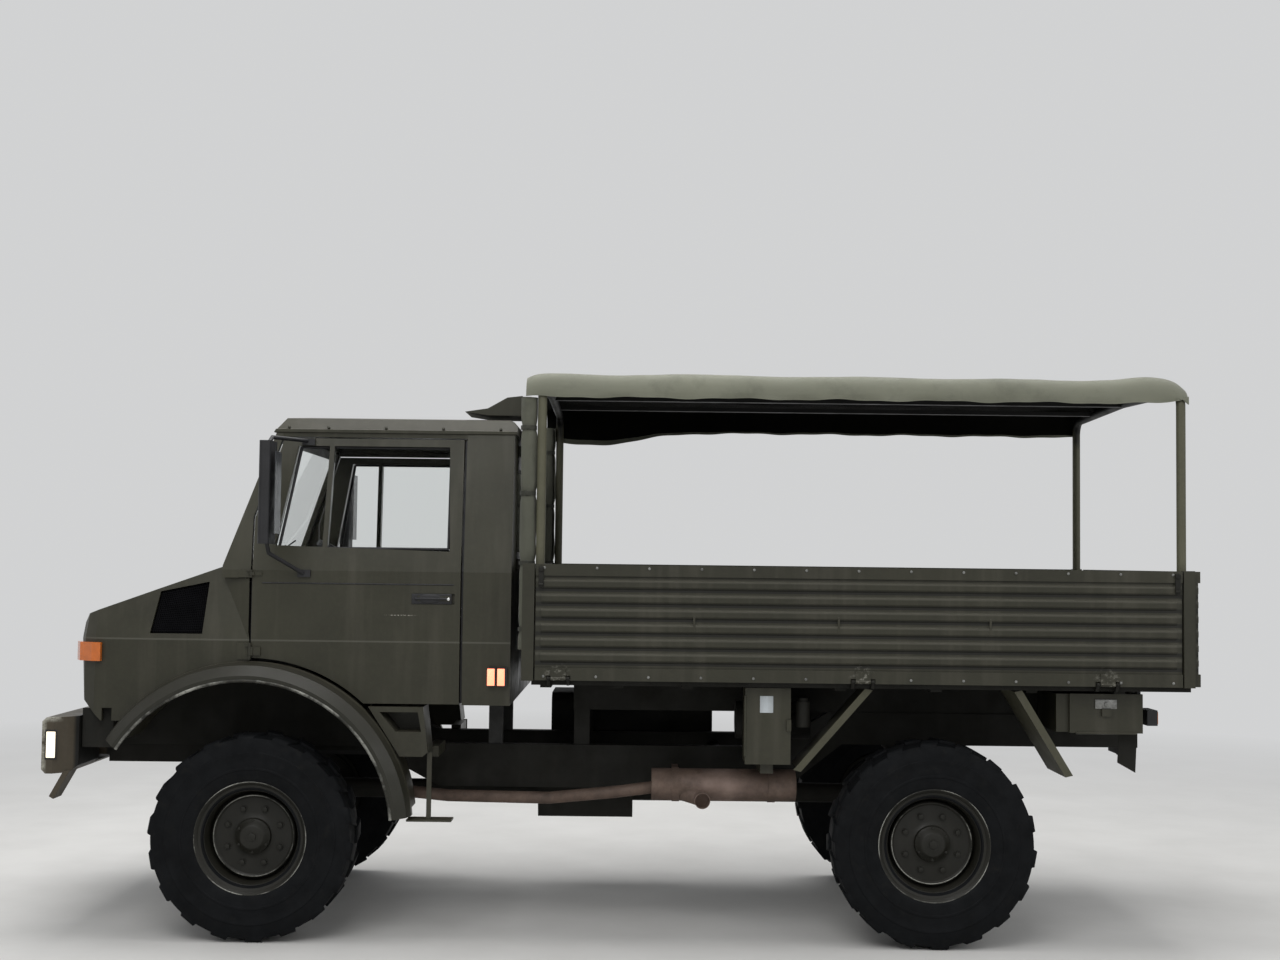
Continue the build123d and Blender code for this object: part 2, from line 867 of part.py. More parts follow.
def hinge_fixed(height, half):
    """Body side of a left door hinge: leaf, two ears and the pin."""
    with BuildPart() as leaf:
        with Locations((door_pin_x + 40, body_half + 4, height)):
            Box(58, 9, 2 * half)
        for low in (height - half, height + half * 0.55):
            with BuildSketch(level(low)):
                with Locations((door_pin_x, door_pin_y)):
                    Circle(door_knuckle_r)
                with Locations((door_pin_x + 12, body_half + 11)):
                    Rectangle(24, 14)
            extrude(amount=half * 0.45)
        with BuildSketch(level(height - half)):
            with Locations((door_pin_x, door_pin_y)):
                Circle(door_pin_r)
        extrude(amount=2 * half)
    return leaf.part


def hinge_moving(height, half):
    """Door side of a left door hinge: leaf and knuckle on the pin."""
    with BuildPart() as leaf:
        with BuildSketch(level(height - half / 2)):
            with Locations((door_pin_x - 34, body_half + 1)):
                Rectangle(48, 15)
            with Locations((door_pin_x - 9, body_half + 9)):
                Rectangle(18, 18)
            with Locations((door_pin_x, door_pin_y)):
                Circle(door_knuckle_r)
                Circle(door_pin_r + running_gap, mode=Mode.SUBTRACT)
        extrude(amount=half)
    return leaf.part


# window opening: x, z, and the vent bar that splits it
window_outline = (
    (1926, 2141),
    (1818, 2696),
    (978, 2696),
    (962, 2116),
)
vent_low_x = 1652
vent_top_x = 1632
vent_bar = 26

with BuildPart() as door_left:
    add(skin_strip(door_thick, door_front_x, door_rear_x))
    with BuildSketch(side_plane(body_half + 50)):
        with BuildLine():
            Polyline(*door_outline, close=True)
        make_face()
        with Locations((arch_x, arch_z)):
            Circle(door_arch_r, mode=Mode.SUBTRACT)
    extrude(amount=300, mode=Mode.INTERSECT)
    with BuildSketch(side_plane(body_half + 50)):
        with BuildLine():
            Polyline(*window_outline, close=True)
        make_face()
        with BuildLine():
            Polyline(
                (vent_low_x - vent_bar / 2, 2100),
                (vent_low_x + vent_bar / 2, 2100),
                (vent_top_x + vent_bar / 2, 2720),
                (vent_top_x - vent_bar / 2, 2720),
                close=True,
            )
        make_face(mode=Mode.SUBTRACT)
    extrude(amount=300, mode=Mode.SUBTRACT)
    # handle in its dished plate
    with Locations((1042, body_half - 4, 1856)):
        Box(226, 24, 58, mode=Mode.SUBTRACT)
    with Locations((1042, body_half + 2, 1858)):
        Box(150, 14, 26)
    with Locations((966, body_half - 6, 1858)):
        Box(26, 30, 30)
    with Locations((1118, body_half - 6, 1858)):
        Box(26, 30, 30)
    for height, half in (low_hinge, top_hinge):
        add(hinge_moving(height, half))
save(door_left.part, "door_left")
save(mirrored(door_left.part), "door_right")

with BuildPart() as door_left_glass:
    add(skin_strip(door_thick, door_front_x, door_rear_x))
    with BuildSketch(side_plane(body_half + 50)):
        with BuildLine():
            Polyline(*window_outline, close=True)
        make_face()
        offset(amount=-seat_gap, mode=Mode.REPLACE)
        with BuildLine():
            Polyline(
                (vent_low_x - vent_bar / 2 - seat_gap, 2100),
                (vent_low_x + vent_bar / 2 + seat_gap, 2100),
                (vent_top_x + vent_bar / 2 + seat_gap, 2720),
                (vent_top_x - vent_bar / 2 - seat_gap, 2720),
                close=True,
            )
        make_face(mode=Mode.SUBTRACT)
    extrude(amount=300, mode=Mode.INTERSECT)
    # only a thin pane in the middle of the frame is left
    with BuildSketch(cross_plane(door_rear_x - 10)):
        with BuildLine():
            Polyline(
                (1100, belt_z),
                (body_half - door_thick / 2 + glass_thick / 2, belt_z),
                (rail_half - door_thick / 2 + glass_thick / 2, rail_z),
                (1100, rail_z),
                close=True,
            )
        make_face()
        with BuildLine():
            Polyline(
                (700, belt_z),
                (body_half - door_thick / 2 - glass_thick / 2, belt_z),
                (rail_half - door_thick / 2 - glass_thick / 2, rail_z),
                (700, rail_z),
                close=True,
            )
        make_face()
    extrude(amount=door_front_x - door_rear_x + 20, mode=Mode.SUBTRACT)
save(door_left_glass.part, "door_left_glass")
save(mirrored(door_left_glass.part), "door_right_glass")

# Mirrors on two arms bolted to the door
mirror_x = 1918
mirror_y = 1226
mirror_low_z = 2146
mirror_top_z = 2696
mirror_width = 190
mirror_thick = 62
arm_r = 11

with BuildPart() as mirror_left:
    with BuildSketch(level(mirror_low_z)):
        with Locations((mirror_x, mirror_y)):
            RectangleRounded(mirror_thick, mirror_width, 22)
    extrude(amount=mirror_top_z - mirror_low_z)
    # lower arm runs to a foot on the door skin
    with BuildLine() as low_arm:
        Polyline(
            (mirror_x, mirror_y, mirror_low_z + 10),
            (mirror_x - 6, mirror_y - 40, mirror_low_z - 50),
            (1762, body_half + 16, 1990),
        )
    with BuildSketch(Plane(origin=low_arm.line @ 0, z_dir=low_arm.line % 0)):
        Circle(arm_r)
    sweep(path=low_arm.line, transition=Transition.RIGHT)
    with Locations((1756, body_half + 7 + seat_gap, 1988)):
        Box(70, 14, 40)
    # upper arm runs to the door's top rail
    with BuildLine() as top_arm:
        Polyline(
            (mirror_x, mirror_y, mirror_top_z - 10),
            (mirror_x - 10, mirror_y - 50, mirror_top_z + 26),
            (1768, rail_half + 24, 2722),
        )
    with BuildSketch(Plane(origin=top_arm.line @ 0, z_dir=top_arm.line % 0)):
        Circle(arm_r)
    sweep(path=top_arm.line, transition=Transition.RIGHT)
    with Locations((1762, rail_half + 22, 2716)):
        Box(70, 20, 36)
save(mirror_left.part, "mirror_left")
save(mirrored(mirror_left.part), "mirror_right")

# Rear wall and corner panels of the cab, with the back window cut
back_window_half = 640
back_window_z = (2120, 2600)
corner_front_x = door_rear_x - 16

with BuildPart() as cab_back:
    with BuildSketch(cross_plane(cab_rear_x)):
        with BuildLine():
            Polyline(*skin, *[(-half, height) for half, height in reversed(skin)], close=True)
        make_face()
    extrude(amount=wall_thick)
    with BuildSketch(cross_plane(cab_rear_x - 1)):
        with Locations((0, sum(back_window_z) / 2)):
            RectangleRounded(2 * back_window_half, back_window_z[1] - back_window_z[0], 60)
    extrude(amount=wall_thick + 2, mode=Mode.SUBTRACT)
    add(skin_strip(wall_thick, corner_front_x, cab_rear_x))
    add(mirrored(skin_strip(wall_thick, corner_front_x, cab_rear_x)))
save(cab_back.part, "cab_back")

# Roof shell with its drip rail
roof_section = (
    (rail_half, rail_z),
    (rail_half + 10, rail_z + 2),
    (rail_half + 10, rail_z + 18),
    (rail_half - 16, rail_z + 22),
    (roof_half, roof_top_z - 12),
    (roof_half - 200, roof_top_z + 8),
)
roof_front_x = 1960

with BuildPart() as cab_roof:
    with BuildSketch(cross_plane(cab_rear_x - 14)):
        with BuildLine():
            Polyline(*roof_section, *[(-half, height) for half, height in reversed(roof_section)], close=True)
        make_face()
    extrude(amount=roof_front_x - cab_rear_x + 14)
    with BuildSketch(side_plane(1000)):
        with BuildLine():
            Polyline(
                (cab_rear_x - 14, rail_z),
                (roof_front_x, rail_z),
                (roof_front_x - 14, rail_z + 22),
                (roof_front_x - 62, roof_top_z - 10),
                (roof_front_x - 170, roof_top_z + 10),
                (cab_rear_x + 60, roof_top_z + 10),
                (cab_rear_x + 6, roof_top_z - 22),
                (cab_rear_x - 14, rail_z + 40),
                close=True,
            )
        make_face()
    extrude(amount=2000, mode=Mode.INTERSECT)
    with BuildSketch(level(rail_z)):
        with Locations(((cab_rear_x + roof_front_x) / 2, 0)):
            Rectangle(roof_front_x - cab_rear_x - 110, 2 * rail_half - 130)
    extrude(amount=roof_top_z - rail_z - 24, taper=20, mode=Mode.SUBTRACT)
save(cab_roof.part, "cab_roof")

# Windscreen frame, pillars and cowl
screen_rise = Vector(screen_top_x - screen_base_x, 0, rail_z - screen_base_z)
screen_length = screen_rise.length
screen_plane = Plane(
    origin=(screen_base_x, 0, screen_base_z),
    x_dir=(0, 1, 0),
    z_dir=(screen_rise.Z, 0, -screen_rise.X),
)
screen_half_low = 950
screen_half_top = 894
screen_frame = 52
frame_depth = 36
cowl_rear_x = 2120
hood_pin_x = screen_base_x + 9
hood_pin_z = screen_base_z + 8
hood_pin_r = 4
hood_knuckle_r = 7
hood_hinges = (-520, 520)

with BuildPart() as cab_front_frame:
    with BuildSketch(screen_plane):
        with BuildLine():
            Polyline(
                (-screen_half_low, -20),
                (screen_half_low, -20),
                (screen_half_top, screen_length),
                (-screen_half_top, screen_length),
                close=True,
            )
        make_face()
        with BuildLine():
            Polyline(
                (-screen_half_low + screen_frame, screen_frame),
                (screen_half_low - screen_frame, screen_frame),
                (screen_half_top - screen_frame, screen_length - screen_frame),
                (-screen_half_top + screen_frame, screen_length - screen_frame),
                close=True,
            )
        make_face(mode=Mode.SUBTRACT)
    extrude(amount=-frame_depth)
    # side pillars between the glass and the door
    with BuildPart(mode=Mode.PRIVATE) as pillar:
        add(skin_strip(wall_thick, screen_base_x, door_top_x - 40))
        with BuildSketch(side_plane(body_half + 50)):
            with BuildLine():
                Polyline(
                    (door_front_x + panel_gap, screen_base_z - 66),
                    (door_front_x + panel_gap, door_bend_z + 3),
                    (door_top_x + panel_gap, door_top_z + 8),
                    (door_top_x + panel_gap, rail_z),
                    (screen_top_x, rail_z),
                    (screen_base_x, screen_base_z),
                    (screen_base_x, screen_base_z - 66),
                    close=True,
                )
            make_face()
        extrude(amount=300, mode=Mode.INTERSECT)
    add(pillar.part)
    add(mirrored(pillar.part))
    add(hinge_fixed(*top_hinge))
    add(mirrored(hinge_fixed(*top_hinge)))
    # ears and pins of the bonnet hinges
    for y in hood_hinges:
        for low in (y - 30, y + 20):
            with BuildSketch(side_plane(low + 10)):
                with Locations((hood_pin_x, hood_pin_z)):
                    Circle(hood_knuckle_r)
                with Locations((hood_pin_x - 8, hood_pin_z - 18)):
                    Rectangle(16, 36)
            extrude(amount=10)
        with BuildSketch(side_plane(y + 30)):
            with Locations((hood_pin_x, hood_pin_z)):
                Circle(hood_pin_r)
        extrude(amount=60)
    # cowl across the truck under the glass
    with BuildSketch(side_plane(body_half - 12)):
        with BuildLine():
            Polyline(
                (screen_base_x, screen_base_z - 66),
                (screen_base_x, screen_base_z),
                (screen_base_x - 50, screen_base_z + 40),
                (cowl_rear_x, screen_base_z - 20),
                (cowl_rear_x, screen_base_z - 66),
                close=True,
            )
        make_face()
    extrude(amount=2 * body_half - 24)
    # header rail over each door, up to the roof
    for side in (1, -1):
        with BuildSketch(side_plane(side * (rail_half - 2))):
            with Locations(((door_top_x + panel_gap + corner_front_x) / 2, (door_top_z + 8 + rail_z) / 2)):
                Rectangle(door_top_x + panel_gap - corner_front_x, rail_z - door_top_z - 8)
        extrude(amount=side * 60)
save(cab_front_frame.part, "cab_front_frame")

with BuildPart() as cab_glass:
    with BuildSketch(screen_plane.offset(-frame_depth / 2)):
        with BuildLine():
            Polyline(
                (-screen_half_low + screen_frame + seat_gap, screen_frame + seat_gap),
                (screen_half_low - screen_frame - seat_gap, screen_frame + seat_gap),
                (screen_half_top - screen_frame - seat_gap, screen_length - screen_frame - seat_gap),
                (-screen_half_top + screen_frame + seat_gap, screen_length - screen_frame - seat_gap),
                close=True,
            )
        make_face()
    extrude(amount=glass_thick)
    with BuildSketch(cross_plane(cab_rear_x + wall_thick / 2)):
        with Locations((0, sum(back_window_z) / 2)):
            RectangleRounded(
                2 * back_window_half - 2 * seat_gap,
                back_window_z[1] - back_window_z[0] - 2 * seat_gap,
                60 - seat_gap,
            )
    extrude(amount=glass_thick)
save(cab_glass.part, "cab_glass")

# Nose: one outer shape shared by both front wings, the bonnet and the grille panel
nose_skin = 24
nose_lean = 9
nose_rear_x = door_front_x + panel_gap
bonnet_rear_x = screen_base_x + 18
bonnet_half = 742
bonnet_gap = 6
grille_half = 640
nose_plan = (
    (nose_rear_x, body_half),
    (2560, body_half - 6),
    (2900, nose_half + 12),
    (nose_x - 30, nose_half - 30),
    (nose_x + 4, nose_half - 90),
)
nose_profile = (
    (nose_rear_x, 1171),
    (2862, 1171),
    (2966, nose_low_z),
    (nose_x + 4, crease_z - 10),
    (nose_x - 4, 1694),
    (nose_x - 44, nose_top_z + 8),
    (screen_base_x, screen_base_z - 2),
    (nose_rear_x, screen_base_z - 2),
)


def nose_solid(inset):
    """Closed outer shape of the nose, drawn in by the given inset on all sides."""
    with BuildPart() as nose:
        for base, top, lean in ((1100, crease_z, 0), (crease_z, screen_base_z + 60, nose_lean)):
            with BuildSketch(level(base)):
                with BuildLine():
                    Polyline(*[(x, -y) for x, y in nose_plan], *reversed(nose_plan), close=True)
                make_face()
                if inset:
                    offset(amount=-inset, kind=Kind.INTERSECTION, mode=Mode.REPLACE)
            extrude(amount=top - base, taper=lean)
        with BuildSketch(side_plane(body_half + 50)):
            with BuildLine():
                Polyline(*nose_profile, close=True)
            make_face()
            if inset:
                offset(amount=-inset, kind=Kind.INTERSECTION, mode=Mode.REPLACE)
        extrude(amount=2 * body_half + 100, mode=Mode.INTERSECT)
    return nose.part


nose_outer = nose_solid(0)
nose_inner = nose_solid(nose_skin)
bonnet_cut = (
    (bonnet_rear_x, 1938),
    (bonnet_rear_x, 2100),
    (nose_x + 60, 2100),
    (nose_x + 60, 1712),
    (nose_x - 60, 1712),
)

with BuildPart() as nose_shell:
    add(nose_outer)
    add(nose_inner, mode=Mode.SUBTRACT)
    # open underneath and at the back
    with Locations(((nose_rear_x + 2900) / 2 - 40, 0, 1180)):
        Box(2900 - nose_rear_x - 10, 2 * body_half - 2 * nose_skin - 2, 120, mode=Mode.SUBTRACT)
    with Locations((nose_rear_x + 20, 0, 1600)):
        Box(60, 2 * body_half - 2 * nose_skin - 2, 1000, mode=Mode.SUBTRACT)

with BuildPart() as hood:
    add(nose_shell.part)
    with BuildSketch(side_plane(bonnet_half)):
        with BuildLine():
            Polyline(*bonnet_cut, close=True)
        make_face()
    extrude(amount=2 * bonnet_half, mode=Mode.INTERSECT)
    # pressed rib down the middle and turned-down side flanges
    for side in (1, -1):
        with BuildSketch(side_plane(side * bonnet_half)):
            with BuildLine():
                Polyline(
                    (bonnet_rear_x + 30, screen_base_z - 28),
                    (bonnet_rear_x + 30, screen_base_z - 62),
                    (nose_x - 90, nose_top_z - 40),
                    (nose_x - 90, nose_top_z - 6),
                    close=True,
                )
            make_face()
        extrude(amount=side * 16)
    # knuckles and straps of the two hinges
    for y in hood_hinges:
        with BuildSketch(side_plane(y + 17)):
            with Locations((hood_pin_x, hood_pin_z)):
                Circle(hood_knuckle_r)
            with BuildLine():
                Polyline(
                    (hood_pin_x, hood_pin_z + 6),
                    (hood_pin_x + 76, hood_pin_z - 24),
                    (hood_pin_x + 76, hood_pin_z - 40),
                    (hood_pin_x + 10, hood_pin_z - 18),
                    (hood_pin_x + 6, hood_pin_z - 4),
                    close=True,
                )
            make_face()
            with Locations((hood_pin_x, hood_pin_z)):
                Circle(hood_pin_r + running_gap, mode=Mode.SUBTRACT)
        extrude(amount=34)
save(hood.part, "hood")

with BuildPart() as grille_panel:
    add(nose_shell.part)
    with BuildSketch(side_plane(grille_half)):
        with BuildLine():
            Polyline(
                (2880, 1190),
                (2880, 1712 - bonnet_gap),
                (nose_x + 60, 1712 - bonnet_gap),
                (nose_x + 60, 1190),
                close=True,
            )
        make_face()
    extrude(amount=2 * grille_half, mode=Mode.INTERSECT)
    # air slots across the front
    for z in range(1340, 1640, 50):
        with Locations((nose_x - 20, 0, z)):
            Box(140, 2 * grille_half - 220, 30, mode=Mode.SUBTRACT)
save(grille_panel.part, "grille_panel")

# Wing side grille: front low, front top, rear top, rear low
side_grille = ((2598, 1650), (2552, 1880), (2286, 1936), (2310, 1650))
side_grille_depth = 140
liner_r = 852
liner_thick = 11
arch_front_angle = 32.5
arch_sweep = 142.5
arch_profile = (
    (liner_r, arch_inner_half),
    (liner_r + liner_thick, arch_inner_half),
    (liner_r + liner_thick, body_half - nose_skin - 12),
    (arch_top_r, body_half - nose_skin - 12),
    (arch_top_r, body_half + 12),
    (arch_top_r - 18, body_half + 84),
    (arch_lip_r + 28, arch_lip_half),
    (arch_lip_r, arch_lip_half),
    (arch_lip_r, arch_lip_half - 14),
    (arch_lip_r + 18, arch_lip_half - 18),
    (liner_r, body_half + 76),
)
arch_start = Vector(1, 0, 0).rotate(Axis.Y, -arch_front_angle)
arch_plane = Plane(
    origin=(arch_x, 0, arch_z),
    x_dir=arch_start,
    z_dir=arch_start.cross(Vector(0, 1, 0)),
)

with BuildPart() as fender_left:
    add(nose_shell.part)
    # keep what lies outside the bonnet and the grille panel
    bonnet_cut_x = nose_x + 100 - bonnet_rear_x + bonnet_gap
    with Locations((nose_x + 100 - bonnet_cut_x / 2, 0, 1850)):
        Box(bonnet_cut_x, 2 * (bonnet_half + bonnet_gap), 600, mode=Mode.SUBTRACT)
    with Locations((nose_rear_x, 0, screen_base_z - 66 - seat_gap + 200)):
        Box(2 * (screen_base_x + 13 - nose_rear_x), 2 * body_half + 10, 400, mode=Mode.SUBTRACT)
    with Locations((2500, -600, 1600)):
        Box(1400, 2 * (600 + grille_half + seat_gap), 1200, mode=Mode.SUBTRACT)
    with BuildSketch(side_plane(body_half + 60)):
        with Locations((arch_x, arch_z)):
            Circle(arch_top_r - 20)
    extrude(amount=400, mode=Mode.SUBTRACT)
    with BuildSketch(side_plane(body_half + 40)):
        with BuildLine():
            Polyline(*side_grille, close=True)
        make_face()
    extrude(amount=side_grille_depth, mode=Mode.SUBTRACT)
    with BuildSketch(arch_plane):
        with BuildLine():
            Polyline(*arch_profile, close=True)
        make_face()
    revolve(axis=Axis((arch_x, 0, arch_z), (0, -1, 0)), revolution_arc=arch_sweep)
    add(hinge_fixed(*low_hinge))
save(fender_left.part, "fender_left")
save(mirrored(fender_left.part), "fender_right")

# Amber lamps that wrap round the front corners of the wings
amber_low_z = 1496
amber_top_z = 1598

with BuildPart() as front_indicators:
    for side in (1, -1):
        with BuildSketch(level(amber_low_z)):
            with BuildLine():
                Polyline(
                    (2862, side * (nose_half + 15 + 2 * seat_gap)),
                    (2900 + seat_gap, side * (nose_half + 12 + 2 * seat_gap)),
                    (nose_x - 30 + seat_gap, side * (nose_half - 30 + 2 * seat_gap)),
                    (nose_x + 4, side * (nose_half - 88)),
                    (nose_x + 30, side * (nose_half - 84)),
                    (nose_x - 8, side * (nose_half - 8)),
                    (2912, side * (nose_half + 38)),
                    (2862, side * (nose_half + 46)),
                    close=True,
                )
            make_face()
        extrude(amount=amber_top_z - amber_low_z)
save(front_indicators.part, "front_indicators")

# Cab floor: flat behind, stepped up over the arch, with firewall, tunnel and seat boxes
floor_half = 908
floor_sheet = 24
tunnel_half = 300
tunnel_top_z = 1700
tunnel_rear_x = 1380
seat_base_z = 1640
seat_centre_y = 470
seat_half = 250
pan = (
    (cab_rear_x + wall_thick, sill_z + 6),
    (1180, sill_z + 6),
    (1330, 1486),
    (2096, 1486),
    (2096, screen_base_z - 90),
)

with BuildPart() as cab_floor:
    with BuildSketch(side_plane(floor_half)):
        with BuildLine():
            Polyline(
                *pan,
                (pan[4][0] - floor_sheet, pan[4][1]),
                (pan[3][0] - floor_sheet, pan[3][1] + floor_sheet),
                (pan[2][0] - 10, pan[2][1] + floor_sheet),
                (pan[1][0] - 12, pan[1][1] + floor_sheet),
                (pan[0][0], pan[0][1] + floor_sheet),
                close=True,
            )
        make_face()
    extrude(amount=2 * floor_half)
    # tunnel over the engine
    with BuildSketch(cross_plane(tunnel_rear_x - floor_sheet)):
        with Locations((0, (1486 + tunnel_top_z) / 2)):
            Rectangle(2 * tunnel_half, tunnel_top_z - 1486)
    extrude(amount=pan[4][0] - tunnel_rear_x + floor_sheet)
    with BuildSketch(cross_plane(tunnel_rear_x)):
        with Locations((0, (1400 + tunnel_top_z - floor_sheet) / 2)):
            Rectangle(2 * (tunnel_half - floor_sheet), tunnel_top_z - floor_sheet - 1400)
    extrude(amount=800, mode=Mode.SUBTRACT)
    # mounts down to the frame rails
    for side in (1, -1):
        for x, top, seat in ((740, sill_z + 7, 1008), (2010, 1487, 1180)):
            with Locations((x, side * rail_y, (top + seat + seat_gap) / 2)):
                Box(80, 60, top - seat - seat_gap)
    # seat boxes
    for side in (1, -1):
        with Locations(((720 + 1180) / 2 + 20, side * seat_centre_y, (sill_z + 20 + seat_base_z) / 2)):
            Box(460, 2 * seat_half - 60, seat_base_z - sill_z - 20)
save(cab_floor.part, "cab_floor")

with BuildPart() as seat_pads:
    for side in (1, -1):
        with Locations((1000, side * seat_centre_y, seat_base_z + 65 + seat_gap)):
            Box(500, 2 * seat_half, 130)
        with BuildSketch(side_plane(side * seat_centre_y + seat_half - 10)):
            with BuildLine():
                Polyline(
                    (690, seat_base_z + 60),
                    (750 - seat_gap - 0.1, seat_base_z + 60),
                    (700, 2084),
                    (672, 2084),
                    close=True,
                )
            make_face()
            offset(amount=0.1, mode=Mode.REPLACE)
        extrude(amount=2 * seat_half - 20)
save(seat_pads.part, "seat_pads")

dash_low_z = 1800
dash_top_z = 2060

with BuildPart() as dashboard:
    with BuildSketch(side_plane(800)):
        with BuildLine():
            Polyline(
                (pan[4][0] - floor_sheet - seat_gap, dash_low_z),
                (pan[4][0] - floor_sheet - seat_gap, dash_top_z - 40),
                (2010, dash_top_z),
                (1850, dash_top_z - 30),
                (1800, dash_top_z - 120),
                (1860, dash_low_z),
                close=True,
            )
        make_face()
    extrude(amount=1600)
save(dashboard.part, "dashboard")

# Steering wheel on its column, in front of the left seat
wheel_tilt = 32
wheel_centre = (1600, seat_centre_y, 2040)
rim_r = 225
column_r = 32
column_drop = wheel_centre[2] - pan[2][1] - floor_sheet - column_r * math.sin(math.radians(wheel_tilt))
column_length = (column_drop - seat_gap) / math.cos(math.radians(wheel_tilt))

with BuildPart() as steering_wheel:
    wheel_plane = Plane(
        origin=wheel_centre,
        x_dir=(0, 1, 0),
        z_dir=Vector(0, 0, 1).rotate(Axis.Y, -wheel_tilt),
    )
    with BuildSketch(wheel_plane):
        RegularPolygon(rim_r, 24)
        RegularPolygon(rim_r - 32, 24, mode=Mode.SUBTRACT)
        Circle(48)
        with PolarLocations(0, 2, start_angle=90):
            with Locations((100, 0)):
                Rectangle(200, 30)
    extrude(amount=26)
    with BuildSketch(wheel_plane):
        Circle(column_r)
    extrude(amount=-column_length)
save(steering_wheel.part, "steering_wheel")

# Steps below the doors: a box step and a hanging foot plate
with BuildPart() as cab_steps:
    for side in (1, -1):
        with BuildSketch(side_plane(side * body_half)):
            with BuildLine():
                Polyline(
                    (1392, sill_z - 12),
                    (1092, sill_z - 12),
                    (1062, 1020),
                    (1090, 996),
                    (1215, 996),
                    close=True,
                )
            make_face()
        extrude(amount=side * 240)
        with BuildSketch(side_plane(side * (body_half + 1))):
            with BuildLine():
                Polyline(
                    (1330, sill_z - 40),
                    (1120, sill_z - 40),
                    (1100, 1130),
                    (1240, 1130),
                    close=True,
                )
            make_face()
        extrude(amount=side * 180, mode=Mode.SUBTRACT)
        with Locations((1110, side * 780, sill_z - 14 - seat_gap)):
            Box(30, 60, 40)
        # strut and foot plate
        with Locations((1056, side * 960, 828)):
            Box(26, 12, 376)
        with Locations((1052, side * 930, 648)):
            Box(246, 120, 10)
        with Locations((1060, side * (760 + rail_y + rail_flange / 2) / 2, 1000)):
            Box(60, 0.1 + 760 - rail_y - rail_flange / 2 - 2 * seat_gap, 60)
save(cab_steps.part, "cab_steps")

# Air intake: a flat snout on the cab roof's rear edge with its duct down the back
intake_half = 190

with BuildPart() as air_intake:
    with BuildSketch(side_plane(520 + intake_half)):
        with BuildLine():
            Polyline(
                (cab_rear_x - 26, 2895),
                (cab_rear_x + 170, 2895),
                (cab_rear_x + 300, 2915),
                (cab_rear_x + 170, 2935),
                (cab_rear_x + 60, 2998),
                (cab_rear_x - 26, 3008),
                close=True,
            )
        make_face()
    extrude(amount=2 * intake_half)
    with BuildSketch(cross_plane(cab_rear_x - 30)):
        with Locations((520, 2480)):
            Rectangle(2 * intake_half - 90, 1056)
    extrude(amount=-44)
    with BuildSketch(cross_plane(cab_rear_x - 26)):
        with Locations((520, 2952)):
            Rectangle(2 * intake_half - 90, 112)
    extrude(amount=-48)
    for z in (2050, 2700):
        with Locations((cab_rear_x - 15, 520, z)):
            Box(30 - 2 * seat_gap, 120, 60)
    with Locations((cab_rear_x - 28, 520, 2480)):
        Box(6, 120, 1056)
save(air_intake.part, "air_intake")

# Red lamps: two markers at each cab corner and a cluster at each side of the rear
rear_lamp_x = -2904

with BuildPart() as rear_lamps:
    for side in (1, -1):
        for x in (656, 716):
            with Locations((x, side * (body_half + 5), 1435)):
                Box(44, 20, 104)
        with Locations((rear_lamp_x, side * 900, 1250)):
            Box(56, 170, 84)
        with Locations((rear_lamp_x + 40, side * 850, (1230 + floor_z - floor_thick - seat_gap) / 2)):
            Box(20, 40, floor_z - floor_thick - seat_gap - 1230)
        with Locations((rear_lamp_x + 38, side * 850, 1245)):
            Box(24, 40, 50)
save(rear_lamps.part, "rear_lamps")

# Bed floor with its bearers, side rails, front and rear corner posts
floor_half_y = bed_half - side_thick - 10
bearer_height = 80
bearer_xs = (420, 30, -350, -1180, -1700, -2220, -2700)
post_half_y = bed_half - 12
gate_thick = 40
gate_x = rear_x + 15 + gate_thick
head_thick = 40
head_x = bed_front_x - 46
bed_rail_z = bed_low_z - 28
bed_rail = 78
hinge_z = bed_low_z + 10
hinge_pin_r = 6
knuckle_r = 10
ear_clear_r = 17
hinge_knuckle = 80
side_pivot_y = bed_half + 2
gate_pivot_x = gate_x - gate_thick - 5
side_hinges = (350, -1292, -2612)
gate_hinges = (-700, 0, 700)
# hinge ear: distance outward from the pin, height above it
ear = ((-62, -38), (-62, -16), (-18, -16), (-9, -4), (4, -6), (-20, -38))

